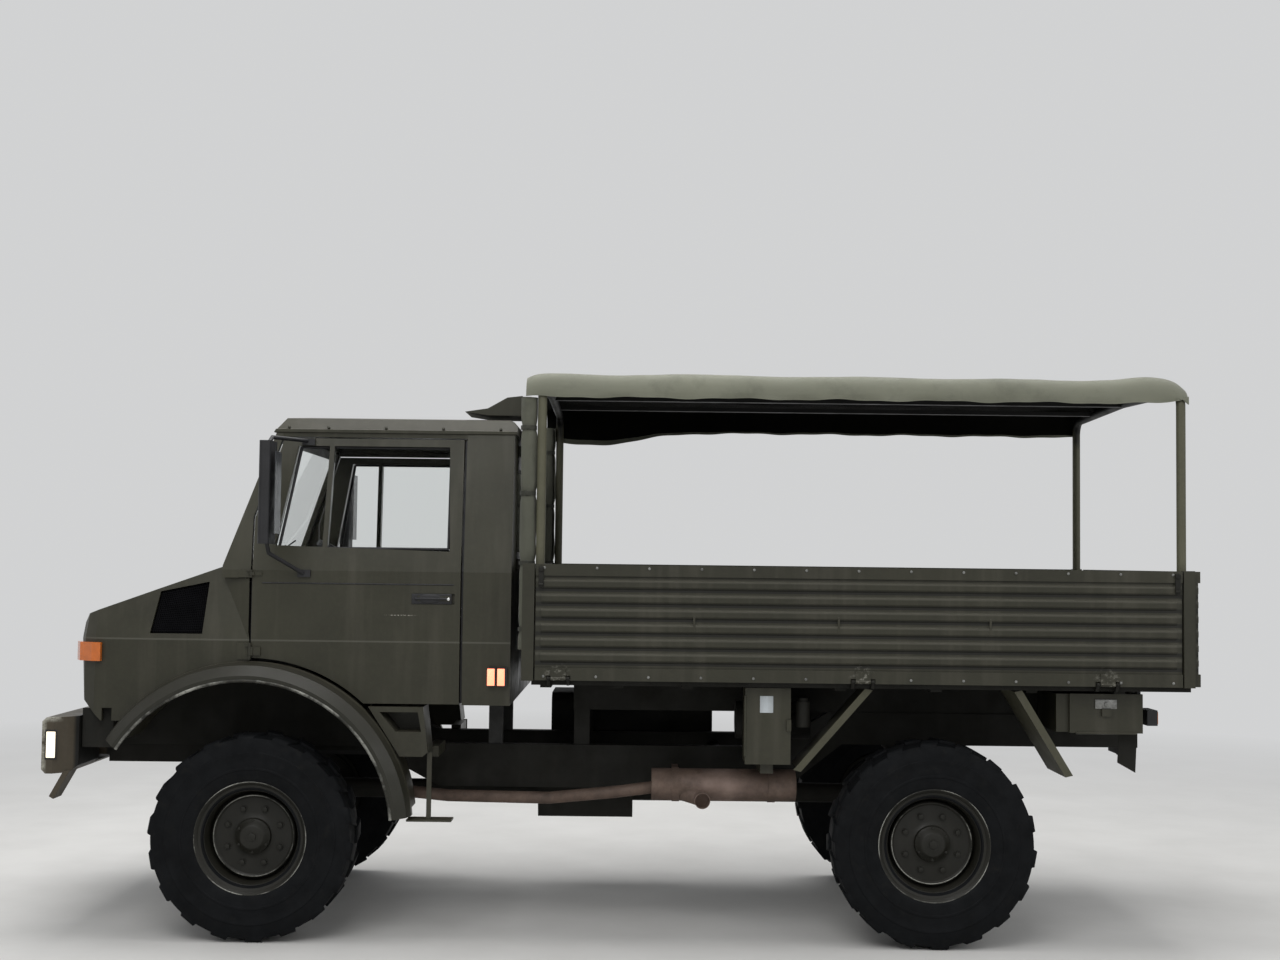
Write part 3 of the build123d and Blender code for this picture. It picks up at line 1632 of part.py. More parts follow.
with BuildPart() as bed_floor:
    with BuildSketch(level(floor_z - floor_thick)):
        with Locations(((head_x + gate_x + 8) / 2, 0)):
            Rectangle(head_x - gate_x - 8, 2 * floor_half_y)
    extrude(amount=floor_thick)
    for side in (1, -1):
        with Locations(((head_x + gate_x + 8) / 2, side * (floor_half_y - 20), bed_rail_z + bed_rail / 2)):
            Box(head_x - gate_x - 8, 40, bed_rail)
        # sub-frame runner resting on the raised rail
        with Locations((-360 - 1000, side * rail_y, (floor_z - floor_thick + rail_lift_z) / 2)):
            Box(3300, 60, floor_z - floor_thick - rail_lift_z)
    for x in bearer_xs:
        with Locations((x, 0, floor_z - floor_thick - bearer_height / 2)):
            Box(60, 2 * floor_half_y - 60, bearer_height)
    with Locations((gate_x + 28, 0, bed_rail_z + bed_rail / 2)):
        Box(40, 2 * floor_half_y, bed_rail)
    # hinge ears with their pins, for the drop sides and the tailgate
    for side in (1, -1):
        for x in side_hinges:
            for low in (x - hinge_knuckle / 2 - 21, x + hinge_knuckle / 2 + 6):
                with BuildSketch(cross_plane(low)):
                    with BuildLine():
                        Polyline(
                            *[(side * (side_pivot_y + out), hinge_z + up) for out, up in ear],
                            close=True,
                        )
                    make_face()
                    with Locations((side * side_pivot_y, hinge_z)):
                        Circle(knuckle_r)
                extrude(amount=15)
            with BuildSketch(cross_plane(x - hinge_knuckle / 2 - 10)):
                with Locations((side * side_pivot_y, hinge_z)):
                    Circle(hinge_pin_r)
            extrude(amount=hinge_knuckle + 20)
    for y in gate_hinges:
        for low in (y - hinge_knuckle / 2 - 21, y + hinge_knuckle / 2 + 6):
            with BuildSketch(side_plane(low + 15)):
                with BuildLine():
                    Polyline(*[(gate_pivot_x - out, hinge_z + up) for out, up in ear], close=True)
                make_face()
                with Locations((gate_pivot_x, hinge_z)):
                    Circle(knuckle_r)
            extrude(amount=15)
        with BuildSketch(side_plane(y + hinge_knuckle / 2 + 10)):
            with Locations((gate_pivot_x, hinge_z)):
                Circle(hinge_pin_r)
        extrude(amount=hinge_knuckle + 20)
    # front mount legs down to the low part of the frame
    for side in (1, -1):
        with Locations((240, side * rail_y, (1008 + rail_lift_z + 60) / 2 + seat_gap / 2)):
            Box(90, 60, rail_lift_z + 60 - 1008 - seat_gap)
save(bed_floor.part, "bed_floor")

with BuildPart() as headboard:
    with Locations((head_x + head_thick / 2, 0, (bed_low_z + bed_top_z) / 2)):
        Box(head_thick, 2 * bed_half - 300, bed_top_z - bed_low_z)
    for z in (1580, 1700, 1820, 1940):
        with Locations((head_x + head_thick + 4, 0, z)):
            Box(10, 2 * bed_half - 400, 36)
    for side in (1, -1):
        with Locations((head_x + head_thick / 2, side * (bed_half - 20), (bed_low_z + bed_top_z) / 2)):
            Box(post_width, 40, bed_top_z - bed_low_z + 6)
        with Locations((head_x + head_thick / 2, side * (bed_half - 90), bed_low_z + 22)):
            Box(head_thick, 140, 44)
save(headboard.part, "headboard")

with BuildPart() as bed_posts:
    for side in (1, -1):
        with Locations((gate_x + 8 + 22, side * (bed_half - 22), (bed_low_z + bed_top_z) / 2)):
            Box(60, 44, bed_top_z - bed_low_z + 6)
        foot_width = bed_half - 44 - floor_half_y - seat_gap
        with Locations((gate_x + 30, side * (bed_half - 44 - foot_width / 2), floor_z - 46)):
            Box(60, foot_width, 52)
save(bed_posts.part, "bed_posts")

# Drop sides: pressed panels with raised ribs, hinged along the floor's edge
side_front_x = head_x + head_thick / 2 - post_width / 2 - 8
side_rear_x = gate_x + 8 + 22 + 30 + 8
rib_count = 6

with BuildPart() as drop_side_left:
    side_x = (side_front_x + side_rear_x) / 2
    with Locations((side_x, bed_half - side_thick / 2 - 6, (bed_low_z + bed_top_z) / 2)):
        Box(side_front_x - side_rear_x, side_thick - 12, bed_top_z - bed_low_z)
    rib_pitch = (bed_top_z - bed_low_z - 150) / rib_count
    for rib in range(rib_count):
        rib_z = bed_low_z + 82 + (rib + 0.5) * rib_pitch
        with BuildSketch(cross_plane(side_rear_x + 30)):
            with BuildLine():
                Polyline(
                    (bed_half - 13, rib_z - rib_pitch * 0.36),
                    (bed_half, rib_z - rib_pitch * 0.14),
                    (bed_half, rib_z + rib_pitch * 0.26),
                    (bed_half - 13, rib_z + rib_pitch * 0.36),
                    close=True,
                )
            make_face()
        extrude(amount=side_front_x - side_rear_x - 60)
    for low, high in ((bed_low_z, bed_low_z + 68), (bed_top_z - 62, bed_top_z)):
        with Locations(((side_front_x + side_rear_x) / 2, bed_half - 10, (low + high) / 2)):
            Box(side_front_x - side_rear_x, 20, high - low)
    for x in side_hinges:
        # clear of both ears, then the knuckle with its strap on the outside
        with BuildSketch(cross_plane(x - hinge_knuckle / 2 - 27)):
            with Locations((side_pivot_y, hinge_z)):
                Circle(ear_clear_r)
        extrude(amount=hinge_knuckle + 54, mode=Mode.SUBTRACT)
        with BuildSketch(cross_plane(x - hinge_knuckle / 2)):
            with Locations((side_pivot_y, hinge_z)):
                Circle(knuckle_r)
            with Locations((bed_half + 2, hinge_z + 28)):
                Rectangle(12, 56)
            with Locations((bed_half - 14, hinge_z + 12)):
                Rectangle(24, 24)
            with Locations((side_pivot_y, hinge_z)):
                Circle(hinge_pin_r + running_gap, mode=Mode.SUBTRACT)
        extrude(amount=hinge_knuckle)
save(drop_side_left.part, "drop_side_left")
save(mirrored(drop_side_left.part), "drop_side_right")

gate_half = bed_half - 44 - 8

with BuildPart() as tailgate:
    with Locations((gate_x - gate_thick / 2 - 6 + 6, 0, (bed_low_z + bed_top_z) / 2)):
        Box(gate_thick - 12, 2 * gate_half, bed_top_z - bed_low_z)
    for rib in range(rib_count):
        rib_z = bed_low_z + 82 + (rib + 0.5) * rib_pitch
        with BuildSketch(side_plane(gate_half - 30)):
            with BuildLine():
                Polyline(
                    (gate_x - gate_thick + 7, rib_z - rib_pitch * 0.36),
                    (gate_x - gate_thick - 6, rib_z - rib_pitch * 0.14),
                    (gate_x - gate_thick - 6, rib_z + rib_pitch * 0.26),
                    (gate_x - gate_thick + 7, rib_z + rib_pitch * 0.36),
                    close=True,
                )
            make_face()
        extrude(amount=2 * gate_half - 60)
    for low, high in ((bed_low_z, bed_low_z + 68), (bed_top_z - 62, bed_top_z)):
        with Locations((gate_x - gate_thick + 4, 0, (low + high) / 2)):
            Box(20, 2 * gate_half, high - low)
    for y in gate_hinges:
        with BuildSketch(side_plane(y + hinge_knuckle / 2 + 27)):
            with Locations((gate_pivot_x, hinge_z)):
                Circle(ear_clear_r)
        extrude(amount=hinge_knuckle + 54, mode=Mode.SUBTRACT)
        with BuildSketch(side_plane(y + hinge_knuckle / 2)):
            with Locations((gate_pivot_x, hinge_z)):
                Circle(knuckle_r)
            with Locations((gate_x - gate_thick - 3, hinge_z + 28)):
                Rectangle(12, 56)
            with Locations((gate_x - gate_thick + 11, hinge_z + 12)):
                Rectangle(24, 24)
            with Locations((gate_pivot_x, hinge_z)):
                Circle(hinge_pin_r + running_gap, mode=Mode.SUBTRACT)
        extrude(amount=hinge_knuckle)
save(tailgate.part, "tailgate")

# Canopy hoops on the bed corners, with three slats between them
slat_ys = (-640, 0, 640)

with BuildPart() as canopy_frame:
    for x in (hoop_front_x, hoop_rear_x):
        with BuildLine() as hoop:
            FilletPolyline(
                (x, -hoop_half, floor_z + seat_gap),
                (x, -hoop_half, hoop_top_z - hoop_r - 26),
                (x, 0, hoop_top_z - hoop_r),
                (x, hoop_half, hoop_top_z - hoop_r - 26),
                (x, hoop_half, floor_z + seat_gap),
                radius=hoop_corner_r,
            )
        with BuildSketch(Plane(origin=hoop.line @ 0, z_dir=hoop.line % 0)):
            Circle(hoop_r)
        sweep(path=hoop.line)
        for side in (1, -1):
            with Locations((x, side * hoop_half, floor_z + 40 + seat_gap)):
                Box(70, 60, 80)
    for y in slat_ys:
        with Locations(((hoop_front_x + hoop_rear_x) / 2, y, hoop_top_z - hoop_r - 8)):
            Box(hoop_front_x - hoop_rear_x, 60, 24)
save(canopy_frame.part, "canopy_frame")

# Canopy sheet over the hoops, open at the front and back, with short skirts
canopy_front_x = 548
canopy_rear_x = -3072
skirt_low_z = 2952
canopy_in = hoop_half + hoop_r + seat_gap
canopy_top_z = hoop_top_z + seat_gap


def canopy_section(half, top, radius):
    """Arch outline of the sheet across the truck: half width, crown height, shoulder radius."""
    with BuildSketch() as outline:
        with BuildLine():
            FilletPolyline(
                (-half, skirt_low_z),
                (-half, top - 26),
                (0, top),
                (half, top - 26),
                (half, skirt_low_z),
                radius=radius,
            )
            Line((half, skirt_low_z), (-half, skirt_low_z))
        make_face()
    return outline.sketch


with BuildPart() as canopy:
    with BuildSketch(cross_plane(canopy_rear_x)):
        add(canopy_section(canopy_in + cloth, canopy_top_z + cloth, hoop_corner_r + cloth))
    extrude(amount=canopy_front_x - canopy_rear_x)
    with BuildSketch(cross_plane(canopy_rear_x - 1)):
        add(canopy_section(canopy_in, canopy_top_z, hoop_corner_r))
    extrude(amount=canopy_front_x - canopy_rear_x + 2, mode=Mode.SUBTRACT)
save(canopy.part, "canopy")

# Front curtains tied up into rolls at the front hoop's legs
roll_x = hoop_front_x + hoop_r + 49.2

with BuildPart() as curtain_rolls:
    for side in (1, -1):
        with BuildSketch(level(floor_z + 80 + 2 * seat_gap)):
            with Locations((roll_x, side * 1047)):
                Ellipse(52, 46)
        extrude(amount=skirt_low_z + 18 - floor_z - 80)
save(curtain_rolls.part, "curtain_rolls")

# Rear mudguards: flat slanted plates each side of the rear wheels
guard_out_y = 1096
guard_in_y = 700
guard_thick = 10
# top x, top z, bottom x, bottom z
guard_top_z = bed_rail_z - seat_gap - 10
guard_lines = (
    (-1352, guard_top_z, -966, 950),
    (-2122, guard_top_z, -2398, 936),
)

with BuildPart() as rear_mudguards:
    for side in (1, -1):
        for top_x, top_z, low_x, low_z in guard_lines:
            step = guard_thick if low_x > top_x else -guard_thick
            with BuildSketch(side_plane(side * guard_out_y)):
                with BuildLine():
                    Polyline(
                        (top_x, top_z),
                        (low_x, low_z),
                        (low_x + step, low_z + 4),
                        (top_x + step, top_z + 4),
                        close=True,
                    )
                make_face()
            extrude(amount=side * (guard_out_y - guard_in_y))
            with BuildSketch(side_plane(side * guard_out_y)):
                with BuildLine():
                    Polyline(
                        (top_x, top_z),
                        (low_x, low_z),
                        (low_x + 4 * step, low_z + 10),
                        (top_x + 4 * step, top_z + 10),
                        close=True,
                    )
                make_face()
            extrude(amount=side * 8)
save(rear_mudguards.part, "rear_mudguards")
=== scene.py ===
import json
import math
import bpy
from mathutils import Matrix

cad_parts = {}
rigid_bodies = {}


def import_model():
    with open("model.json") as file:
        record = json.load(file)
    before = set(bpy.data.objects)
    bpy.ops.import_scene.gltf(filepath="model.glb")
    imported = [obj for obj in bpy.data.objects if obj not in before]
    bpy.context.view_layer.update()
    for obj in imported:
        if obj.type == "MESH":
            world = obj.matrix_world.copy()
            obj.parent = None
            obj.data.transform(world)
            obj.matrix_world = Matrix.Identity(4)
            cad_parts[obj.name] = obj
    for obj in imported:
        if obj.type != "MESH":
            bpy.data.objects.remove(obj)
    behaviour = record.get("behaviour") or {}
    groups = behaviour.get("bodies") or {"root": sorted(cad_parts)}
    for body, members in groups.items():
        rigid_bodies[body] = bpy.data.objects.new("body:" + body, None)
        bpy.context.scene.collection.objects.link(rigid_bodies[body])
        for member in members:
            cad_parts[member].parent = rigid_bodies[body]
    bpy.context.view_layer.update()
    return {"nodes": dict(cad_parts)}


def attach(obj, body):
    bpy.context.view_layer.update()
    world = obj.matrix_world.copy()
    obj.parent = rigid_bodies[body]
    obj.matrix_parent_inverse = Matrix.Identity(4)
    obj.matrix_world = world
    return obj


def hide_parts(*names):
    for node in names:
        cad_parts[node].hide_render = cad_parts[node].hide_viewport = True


bl_info = {
    "name": "Military cargo truck dressing",
    "version": (1, 0, 0),
    "blender": (4, 5, 0),
    "location": "3D View > Sidebar > Truck",
    "description": "Dresses the packed cargo truck with cloth, tyres, lamps, trim and finishes",
    "category": "Object",
}

import bmesh
import bpy
from mathutils import Matrix, Vector, noise

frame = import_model()


class TruckSizes(bpy.types.PropertyGroup):
    """Sizes of the dressing that a user would change."""

    canopy_sag: bpy.props.FloatProperty(
        name="Canopy sag", description="How far the sheet hangs between its slats", default=0.022, unit="LENGTH"
    )
    hem_wave: bpy.props.FloatProperty(
        name="Hem wave", description="Height of the waves along the sheet's hem", default=0.004, unit="LENGTH"
    )
    lug_count: bpy.props.IntProperty(name="Lugs", description="Tread lugs on each half of a tyre", default=18)
    fold_depth: bpy.props.FloatProperty(
        name="Curtain folds", description="Depth of the folds in the tied curtains", default=0.012, unit="LENGTH"
    )
    bolt_radius: bpy.props.FloatProperty(
        name="Bolt radius", description="Across corners radius of the body bolts", default=0.010, unit="LENGTH"
    )


class TruckColours(bpy.types.PropertyGroup):
    """Base colours of the finishes, linear."""

    body: bpy.props.FloatVectorProperty(
        name="Body paint", description="Olive green of the body", subtype="COLOR", default=(0.030, 0.029, 0.0185)
    )
    dust: bpy.props.FloatVectorProperty(
        name="Dust", description="Dust on paint and rubber", subtype="COLOR", default=(0.082, 0.075, 0.058)
    )
    cloth: bpy.props.FloatVectorProperty(
        name="Canvas", description="Faded outside of the canopy", subtype="COLOR", default=(0.150, 0.153, 0.116)
    )
    rust: bpy.props.FloatVectorProperty(
        name="Rust", description="Rust of the exhaust", subtype="COLOR", default=(0.120, 0.083, 0.064)
    )
    rubber: bpy.props.FloatVectorProperty(
        name="Rubber", description="Tyre rubber", subtype="COLOR", default=(0.0034, 0.0038, 0.0044)
    )


# Small tools shared by the pieces

SIDES = ((1, "left"), (-1, "right"))


def deselect():
    """Leaves object mode with nothing selected."""
    if bpy.context.object and bpy.context.object.mode != "OBJECT":
        bpy.ops.object.mode_set(mode="OBJECT")
    bpy.ops.object.select_all(action="DESELECT")


def take(piece):
    """Selects one piece alone and makes it active."""
    deselect()
    piece.select_set(True)
    bpy.context.view_layer.objects.active = piece
    return piece


def take_mesh(piece):
    """Opens one piece in edit mode with its whole mesh selected."""
    take(piece)
    bpy.ops.object.mode_set(mode="EDIT")
    bpy.ops.mesh.select_all(action="SELECT")


def settle(piece):
    """Puts a piece's place into its mesh and leaves it at the origin."""
    take(piece)
    bpy.ops.object.transform_apply(location=True, rotation=True, scale=True)
    return piece


def start(primitive, name, scale=(1, 1, 1), **settings):
    """Begins a piece from a primitive, with its place in its mesh."""
    deselect()
    primitive(**settings)
    piece = bpy.context.object
    piece.name = name
    piece.scale = scale
    return settle(piece)


def modify(piece, kind, **settings):
    """Adds one modifier with its settings and applies it."""
    take(piece)
    modifier = piece.modifiers.new(kind.title(), kind)
    for key, value in settings.items():
        setattr(modifier, key, value)
    bpy.ops.object.modifier_apply(modifier=modifier.name)
    return piece


def smooth(piece, degrees=40):
    """Shades a piece smooth up to an angle."""
    take(piece)
    bpy.ops.object.shade_smooth_by_angle(angle=math.radians(degrees))
    return piece


def block(name, low, high, bevel, segments=2):
    """Box between two corners with rounded edges."""
    low, high = Vector(low), Vector(high)
    piece = start(bpy.ops.mesh.primitive_cube_add, name, high - low, size=1, location=(low + high) / 2)
    modify(piece, "BEVEL", width=bevel, segments=segments, limit_method="ANGLE")
    return smooth(piece)


def plate(name, corners, thickness):
    """Flat four-cornered plate, its corners given round it."""
    piece = start(bpy.ops.mesh.primitive_plane_add, name, size=1)
    first, second, third, fourth = corners
    for vertex, place in zip(piece.data.vertices, (first, second, fourth, third)):
        vertex.co = place
    modify(piece, "SOLIDIFY", thickness=thickness, offset=0.0)
    modify(piece, "BEVEL", width=thickness * 0.3, segments=1)
    return outward(piece)


def rod(name, begin, end, radius, sides=20, bevel=0.0):
    """Round bar between two points with its end edges broken."""
    begin, end = Vector(begin), Vector(end)
    run = end - begin
    piece = start(
        bpy.ops.mesh.primitive_cylinder_add, name, radius=radius, depth=run.length, vertices=sides,
        location=(begin + end) / 2, rotation=run.to_track_quat("Z", "Y").to_euler(),
    )
    if bevel:
        modify(piece, "BEVEL", width=bevel, segments=2, limit_method="ANGLE", angle_limit=math.radians(50))
    return smooth(piece)


def hoop(name, place, radius, thickness, steps):
    """Ring about Y round a place."""
    return start(
        bpy.ops.mesh.primitive_torus_add, name, major_radius=radius, minor_radius=thickness,
        major_segments=steps, minor_segments=8, location=place, rotation=(math.pi / 2, 0, 0),
    )


def grid_sheet(name, columns, rows, place):
    """Grid whose every point goes where place(u, v) says, u and v from 0 to 1."""
    piece = start(bpy.ops.mesh.primitive_grid_add, name, x_subdivisions=columns, y_subdivisions=rows, size=1)
    for vertex in piece.data.vertices:
        vertex.co = place(vertex.co.x + 0.5, vertex.co.y + 0.5)
    piece.data.update()
    return piece


def pick_faces(piece, test):
    """In edit mode, selects only the faces whose normal passes the test."""
    bpy.ops.mesh.select_mode(type="FACE")
    bpy.ops.mesh.select_all(action="DESELECT")
    shape = bmesh.from_edit_mesh(piece.data)
    for face in shape.faces:
        face.select_set(test(face.normal))
    bmesh.update_edit_mesh(piece.data)


def outward(piece):
    """Merges doubles and turns all faces outward."""
    take_mesh(piece)
    bpy.ops.mesh.remove_doubles(threshold=0.0002)
    bpy.ops.mesh.normals_make_consistent(inside=False)
    bpy.ops.object.mode_set(mode="OBJECT")
    return piece


def turned(name, profile, steps):
    """Solid of revolution about Y at the origin, from (along Y, radius) points, spun as by hand."""
    mesh = bpy.data.meshes.new(name)
    ends = [(index, index + 1) for index in range(len(profile) - 1)]
    mesh.from_pydata([(0, along, radius) for along, radius in profile], ends, [])
    mesh.update()
    piece = bpy.data.objects.new(name, mesh)
    bpy.context.scene.collection.objects.link(piece)
    take_mesh(piece)
    bpy.ops.mesh.spin(steps=steps, angle=math.tau, center=(0, 0, 0), axis=(0, 1, 0))
    bpy.ops.object.mode_set(mode="OBJECT")
    return outward(piece)


def joined(name, pieces):
    """One object from several meshes."""
    deselect()
    for piece in pieces:
        piece.select_set(True)
    bpy.context.view_layer.objects.active = pieces[0]
    bpy.ops.object.join()
    piece = bpy.context.object
    piece.name = name
    return piece


def copied(piece, name, matrix):
    """Copy of a piece with its own mesh, moved by a matrix that goes into the mesh."""
    copy = piece.copy()
    copy.data = piece.data.copy()
    copy.name = name
    bpy.context.scene.collection.objects.link(copy)
    copy.data.transform(matrix)
    if matrix.determinant() < 0:
        copy.data.flip_normals()
    copy.data.update()
    return copy


def about_axle(share):
    """Turn about the wheel's axle by a share of a whole turn."""
    return Matrix.Rotation(math.tau * share, 4, "Y")


def path_length(place, steps):
    """Length of the line that place(share) draws from 0 to 1."""
    return sum((place((step + 1) / steps) - place(step / steps)).length for step in range(steps))


def finish_piece(piece, finish, body="chassis", side=1):
    """Turns a piece made on the left to its side and gives it its finish and its body."""
    if side < 0:
        piece.data.transform(Matrix.Scale(-1, 4, (0, 1, 0)))
        piece.data.flip_normals()
    piece.data.materials.clear()
    piece.data.materials.append(FINISH[finish])
    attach(piece, body)
    return piece


# Finishes: each is one node material


class Tree:
    """Short hand for the nodes of a material or a world."""

    def __init__(self, owner):
        owner.use_nodes = True
        self.nodes, self.links = owner.node_tree.nodes, owner.node_tree.links

    def feed(self, socket, value):
        """Links an output into a socket, or sets the socket to a value."""
        if isinstance(value, bpy.types.NodeSocket):
            self.links.new(value, socket)
        elif isinstance(value, tuple) and socket.type == "RGBA":
            socket.default_value = (*value, 1)
        else:
            socket.default_value = value

    def add(self, kind, inputs=None, **settings):
        """New node with its settings, and its inputs by name or number."""
        node = self.nodes.new(f"ShaderNode{kind}")
        for key, value in settings.items():
            setattr(node, key, value)
        for key, value in (inputs or {}).items():
            self.feed(node.inputs[key], value)
        return node

    def maths(self, operation, first, second=0.0):
        return self.add("Math", {0: first, 1: second}, operation=operation).outputs[0]

    def backdrop_rays(self):
        """1 for camera, glossy and transmission rays, which see the backdrop's plain colour."""
        path = self.add("LightPath")
        share = path.outputs["Is Camera Ray"]
        for kind in ("Is Glossy Ray", "Is Transmission Ray"):
            share = self.maths("MAXIMUM", share, path.outputs[kind])
        return share

    def blend(self, share, first, second, output):
        """Shows the first shader, or the second one by its share."""
        mixed = self.add("MixShader", {0: share, 1: first.outputs[0], 2: second.outputs[0]})
        self.feed(self.nodes[output].inputs[0], mixed.outputs[0])


class Recipe(Tree):
    """Short hand for building one finish; tone is its colour so far."""

    def __init__(self, name, **sockets):
        self.material = bpy.data.materials.new(name)
        super().__init__(self.material)
        self.shader = self.nodes["Principled BSDF"]
        self.place = self.add("TexCoord").outputs["Object"]
        self.tone = None
        for key, value in sockets.items():
            self.shader.inputs[key.replace("_", " ")].default_value = value

    def noise(self, scale, detail=4, roughness=0.6, stretch=(1, 1, 1)):
        place = self.add("Mapping", {"Scale": stretch, "Vector": self.place}).outputs[0]
        inputs = {"Vector": place, "Scale": scale, "Detail": detail, "Roughness": roughness}
        return self.add("TexNoise", inputs).outputs["Fac"]

    def ramp(self, source, low, high, dark=0.0, light=1.0):
        inputs = {"Value": source, "From Min": low, "From Max": high, "To Min": dark, "To Max": light}
        return self.add("MapRange", inputs).outputs["Result"]

    def patches(self, grain, low, high, dark=0.0, light=1.0):
        """Noise of that grain, spread between two values."""
        return self.ramp(self.noise(*grain), low, high, dark, light)

    def mix(self, factor, first, second):
        return self.add("Mix", {0: factor, 6: first, 7: second}, data_type="RGBA").outputs[2]

    def clouds(self, grain, low, high, dark, light):
        """Begins the tone with patches of two colours."""
        self.tone = self.mix(self.patches(grain, low, high), dark, light)

    def over(self, factor, colour):
        """Lays a colour over the tone, where the factor lets it."""
        self.tone = self.mix(factor, self.tone, colour)

    def multiply(self, first, second):
        return self.maths("MULTIPLY", first, second)

    def facing_up(self):
        geometry = self.add("NewGeometry")
        split = self.add("SeparateXYZ", {0: geometry.outputs["Normal"]})
        return self.ramp(split.outputs["Z"], 0.12, 0.75)

    def near(self, spot, reach, height=1.0):
        """1 at a place given by its X and Z, falling to 0 at that distance from it; flat where height is small."""
        flat = self.add("VectorMath", {0: self.place, 1: (1, 0, 1 / height)}, operation="MULTIPLY")
        centre = (spot[0], 0, spot[1] / height)
        gap = self.add("VectorMath", {0: flat.outputs[0], 1: centre}, operation="DISTANCE")
        return self.ramp(gap.outputs["Value"], reach, reach * 0.3)

    def along(self, axis):
        """Place along one axis of the object."""
        return self.add("SeparateXYZ", {0: self.place}).outputs[axis]

    def aside(self, low, high):
        """Rises from 0 to 1 between two distances from the middle plane."""
        return self.ramp(self.maths("ABSOLUTE", self.along("Y")), low, high)

    def band(self, source, low, high, edge):
        """1 between two values, falling to 0 within an edge on both sides."""
        return self.multiply(self.ramp(source, low - edge, low), self.ramp(source, high + edge, high))

    def ribs(self, scale, direction, **inputs):
        """Wave of straight bands."""
        inputs = {"Vector": self.place, "Scale": scale, **inputs}
        return self.add("TexWave", inputs, wave_type="BANDS", bands_direction=direction).outputs["Fac"]

    def bump(self, source, strength, distance):
        node = self.add("Bump", {"Strength": strength, "Distance": distance, "Height": source})
        self.feed(self.shader.inputs["Normal"], node.outputs[0])

    def done(self, roughness):
        """Connects the tone and the roughness: one value, or noise and its lowest and highest value."""
        if isinstance(roughness, tuple):
            grain, low, high = roughness
            roughness = self.patches(grain, 0.3, 0.7, low, high)
        self.feed(self.shader.inputs["Base Color"], self.tone)
        self.feed(self.shader.inputs["Roughness"], roughness)
        return self.material


def scaled(colour, factor):
    return tuple(channel * factor for channel in colour)


def worn_paint(name, colour, dust, dustiness=0.5, rough=0.46, chips=0.0, extra=None):
    """Matt vehicle paint: cloudy tone, dust on ledges and low down, run marks, fine orange peel and scratches."""
    recipe = Recipe(name, Specular_IOR_Level=0.30)
    recipe.clouds((1.7, 5), 0.3, 0.7, scaled(colour, 0.82), scaled(colour, 1.22))
    recipe.over(recipe.patches((38, 6, 0.7), 0.45, 0.75, 0, 0.35), scaled(colour, 1.5))
    recipe.over(recipe.patches((9, 3, 0.5, (1.6, 1.6, 0.12)), 0.5, 0.78, 0, 0.30), dust)
    ledge = recipe.patches((6, 5), 0.25, 0.7, 0.25, dustiness)
    recipe.over(recipe.multiply(recipe.facing_up(), ledge), dust)
    splash = recipe.patches((11, 6), 0.35, 0.75, 0, dustiness)
    recipe.over(recipe.multiply(recipe.ramp(recipe.along("Z"), 1.35, 0.35), splash), dust)
    if chips:
        recipe.over(recipe.patches((70, 8, 0.8), 0.70, 0.74, 0, chips), (0.22, 0.21, 0.18))
    if extra:
        extra(recipe)
    recipe.bump(recipe.noise(210, 2), 0.10, 0.0006)
    return recipe.done(((5, 4), rough - 0.08, rough + 0.14))


def cab_marks(recipe):
    """Painted highlight along the crease of the cab's side, dark flares and a pale scratch on the doors."""
    # Painted highlight: a thin pale line along the crease.
    crease = recipe.band(recipe.along("Z"), 1.617, 1.622, 0.004)
    recipe.over(recipe.multiply(crease, 0.55), (0.10, 0.098, 0.080))
    flare = recipe.multiply(recipe.aside(1.012, 1.030), recipe.ramp(recipe.along("X"), 1.05, 1.12, 0.0, 0.65))
    recipe.over(flare, (0.010, 0.010, 0.0075))
    scratch = recipe.multiply(recipe.near((1.225, 1.765), 0.10, 0.035), recipe.patches((60, 4, 0.7), 0.46, 0.60))
    recipe.over(scratch, (0.42, 0.40, 0.35))


def rib_dirt(recipe):
    """Painted highlights on the upper edges and painted shade in the grooves of the pressed ribs, and chips round the
    hinges.
    """
    height = recipe.along("Z")
    step = recipe.maths("FRACT", recipe.maths("DIVIDE", recipe.maths("SUBTRACT", height, RIB_LOW), RIB_PITCH))
    outer = recipe.maths("MAXIMUM", recipe.aside(1.124, 1.132), recipe.ramp(recipe.along("X"), -3.104, -3.112))
    ribbed = recipe.multiply(recipe.band(height, RIB_LOW, RIB_LOW + RIB_COUNT * RIB_PITCH, 0.004), outer)
    # First row: painted shade in the grooves under each rib. Second row: painted highlight on each rib's upper edge.
    for low, high, edge, strength, colour in (
        (0.03, 0.24, 0.07, 0.80, (0.004, 0.004, 0.003)),
        (0.72, 0.84, 0.08, 0.45, (0.095, 0.092, 0.074)),
    ):
        stripe = recipe.multiply(recipe.band(step, low, high, edge), ribbed)
        recipe.over(recipe.multiply(stripe, strength), colour)
    for spot in HINGE_SPOTS:
        chips = recipe.multiply(recipe.near(spot, 0.085), recipe.patches((38, 8, 0.75), 0.53, 0.60))
        recipe.over(chips, (0.16, 0.155, 0.13))


def bumper_wear(recipe):
    """Bumper ends rubbed pale along the front and top edges, and near black behind X 2.985."""
    # Near black behind X 2.985.
    recipe.over(recipe.ramp(recipe.along("X"), 3.000, 2.985), (0.006, 0.006, 0.005))
    rubbed = recipe.multiply(recipe.patches((23, 7, 0.7), 0.36, 0.60), recipe.aside(1.030, 1.060))
    for axis, low, high in (("X", 3.112, 3.130), ("Z", 1.166, 1.184)):
        edge = recipe.ramp(recipe.along(axis), low, high)
        recipe.over(recipe.multiply(edge, rubbed), (0.34, 0.33, 0.28))


def hidden_slats(recipe):
    """Hoops keep their pale paint; the slats under the canopy get painted shade."""
    # Painted shade on the slats under the canopy.
    high = recipe.ramp(recipe.along("Z"), 2.86, 2.92)
    recipe.over(recipe.multiply(recipe.aside(1.060, 1.040), high), (0.004, 0.004, 0.003))


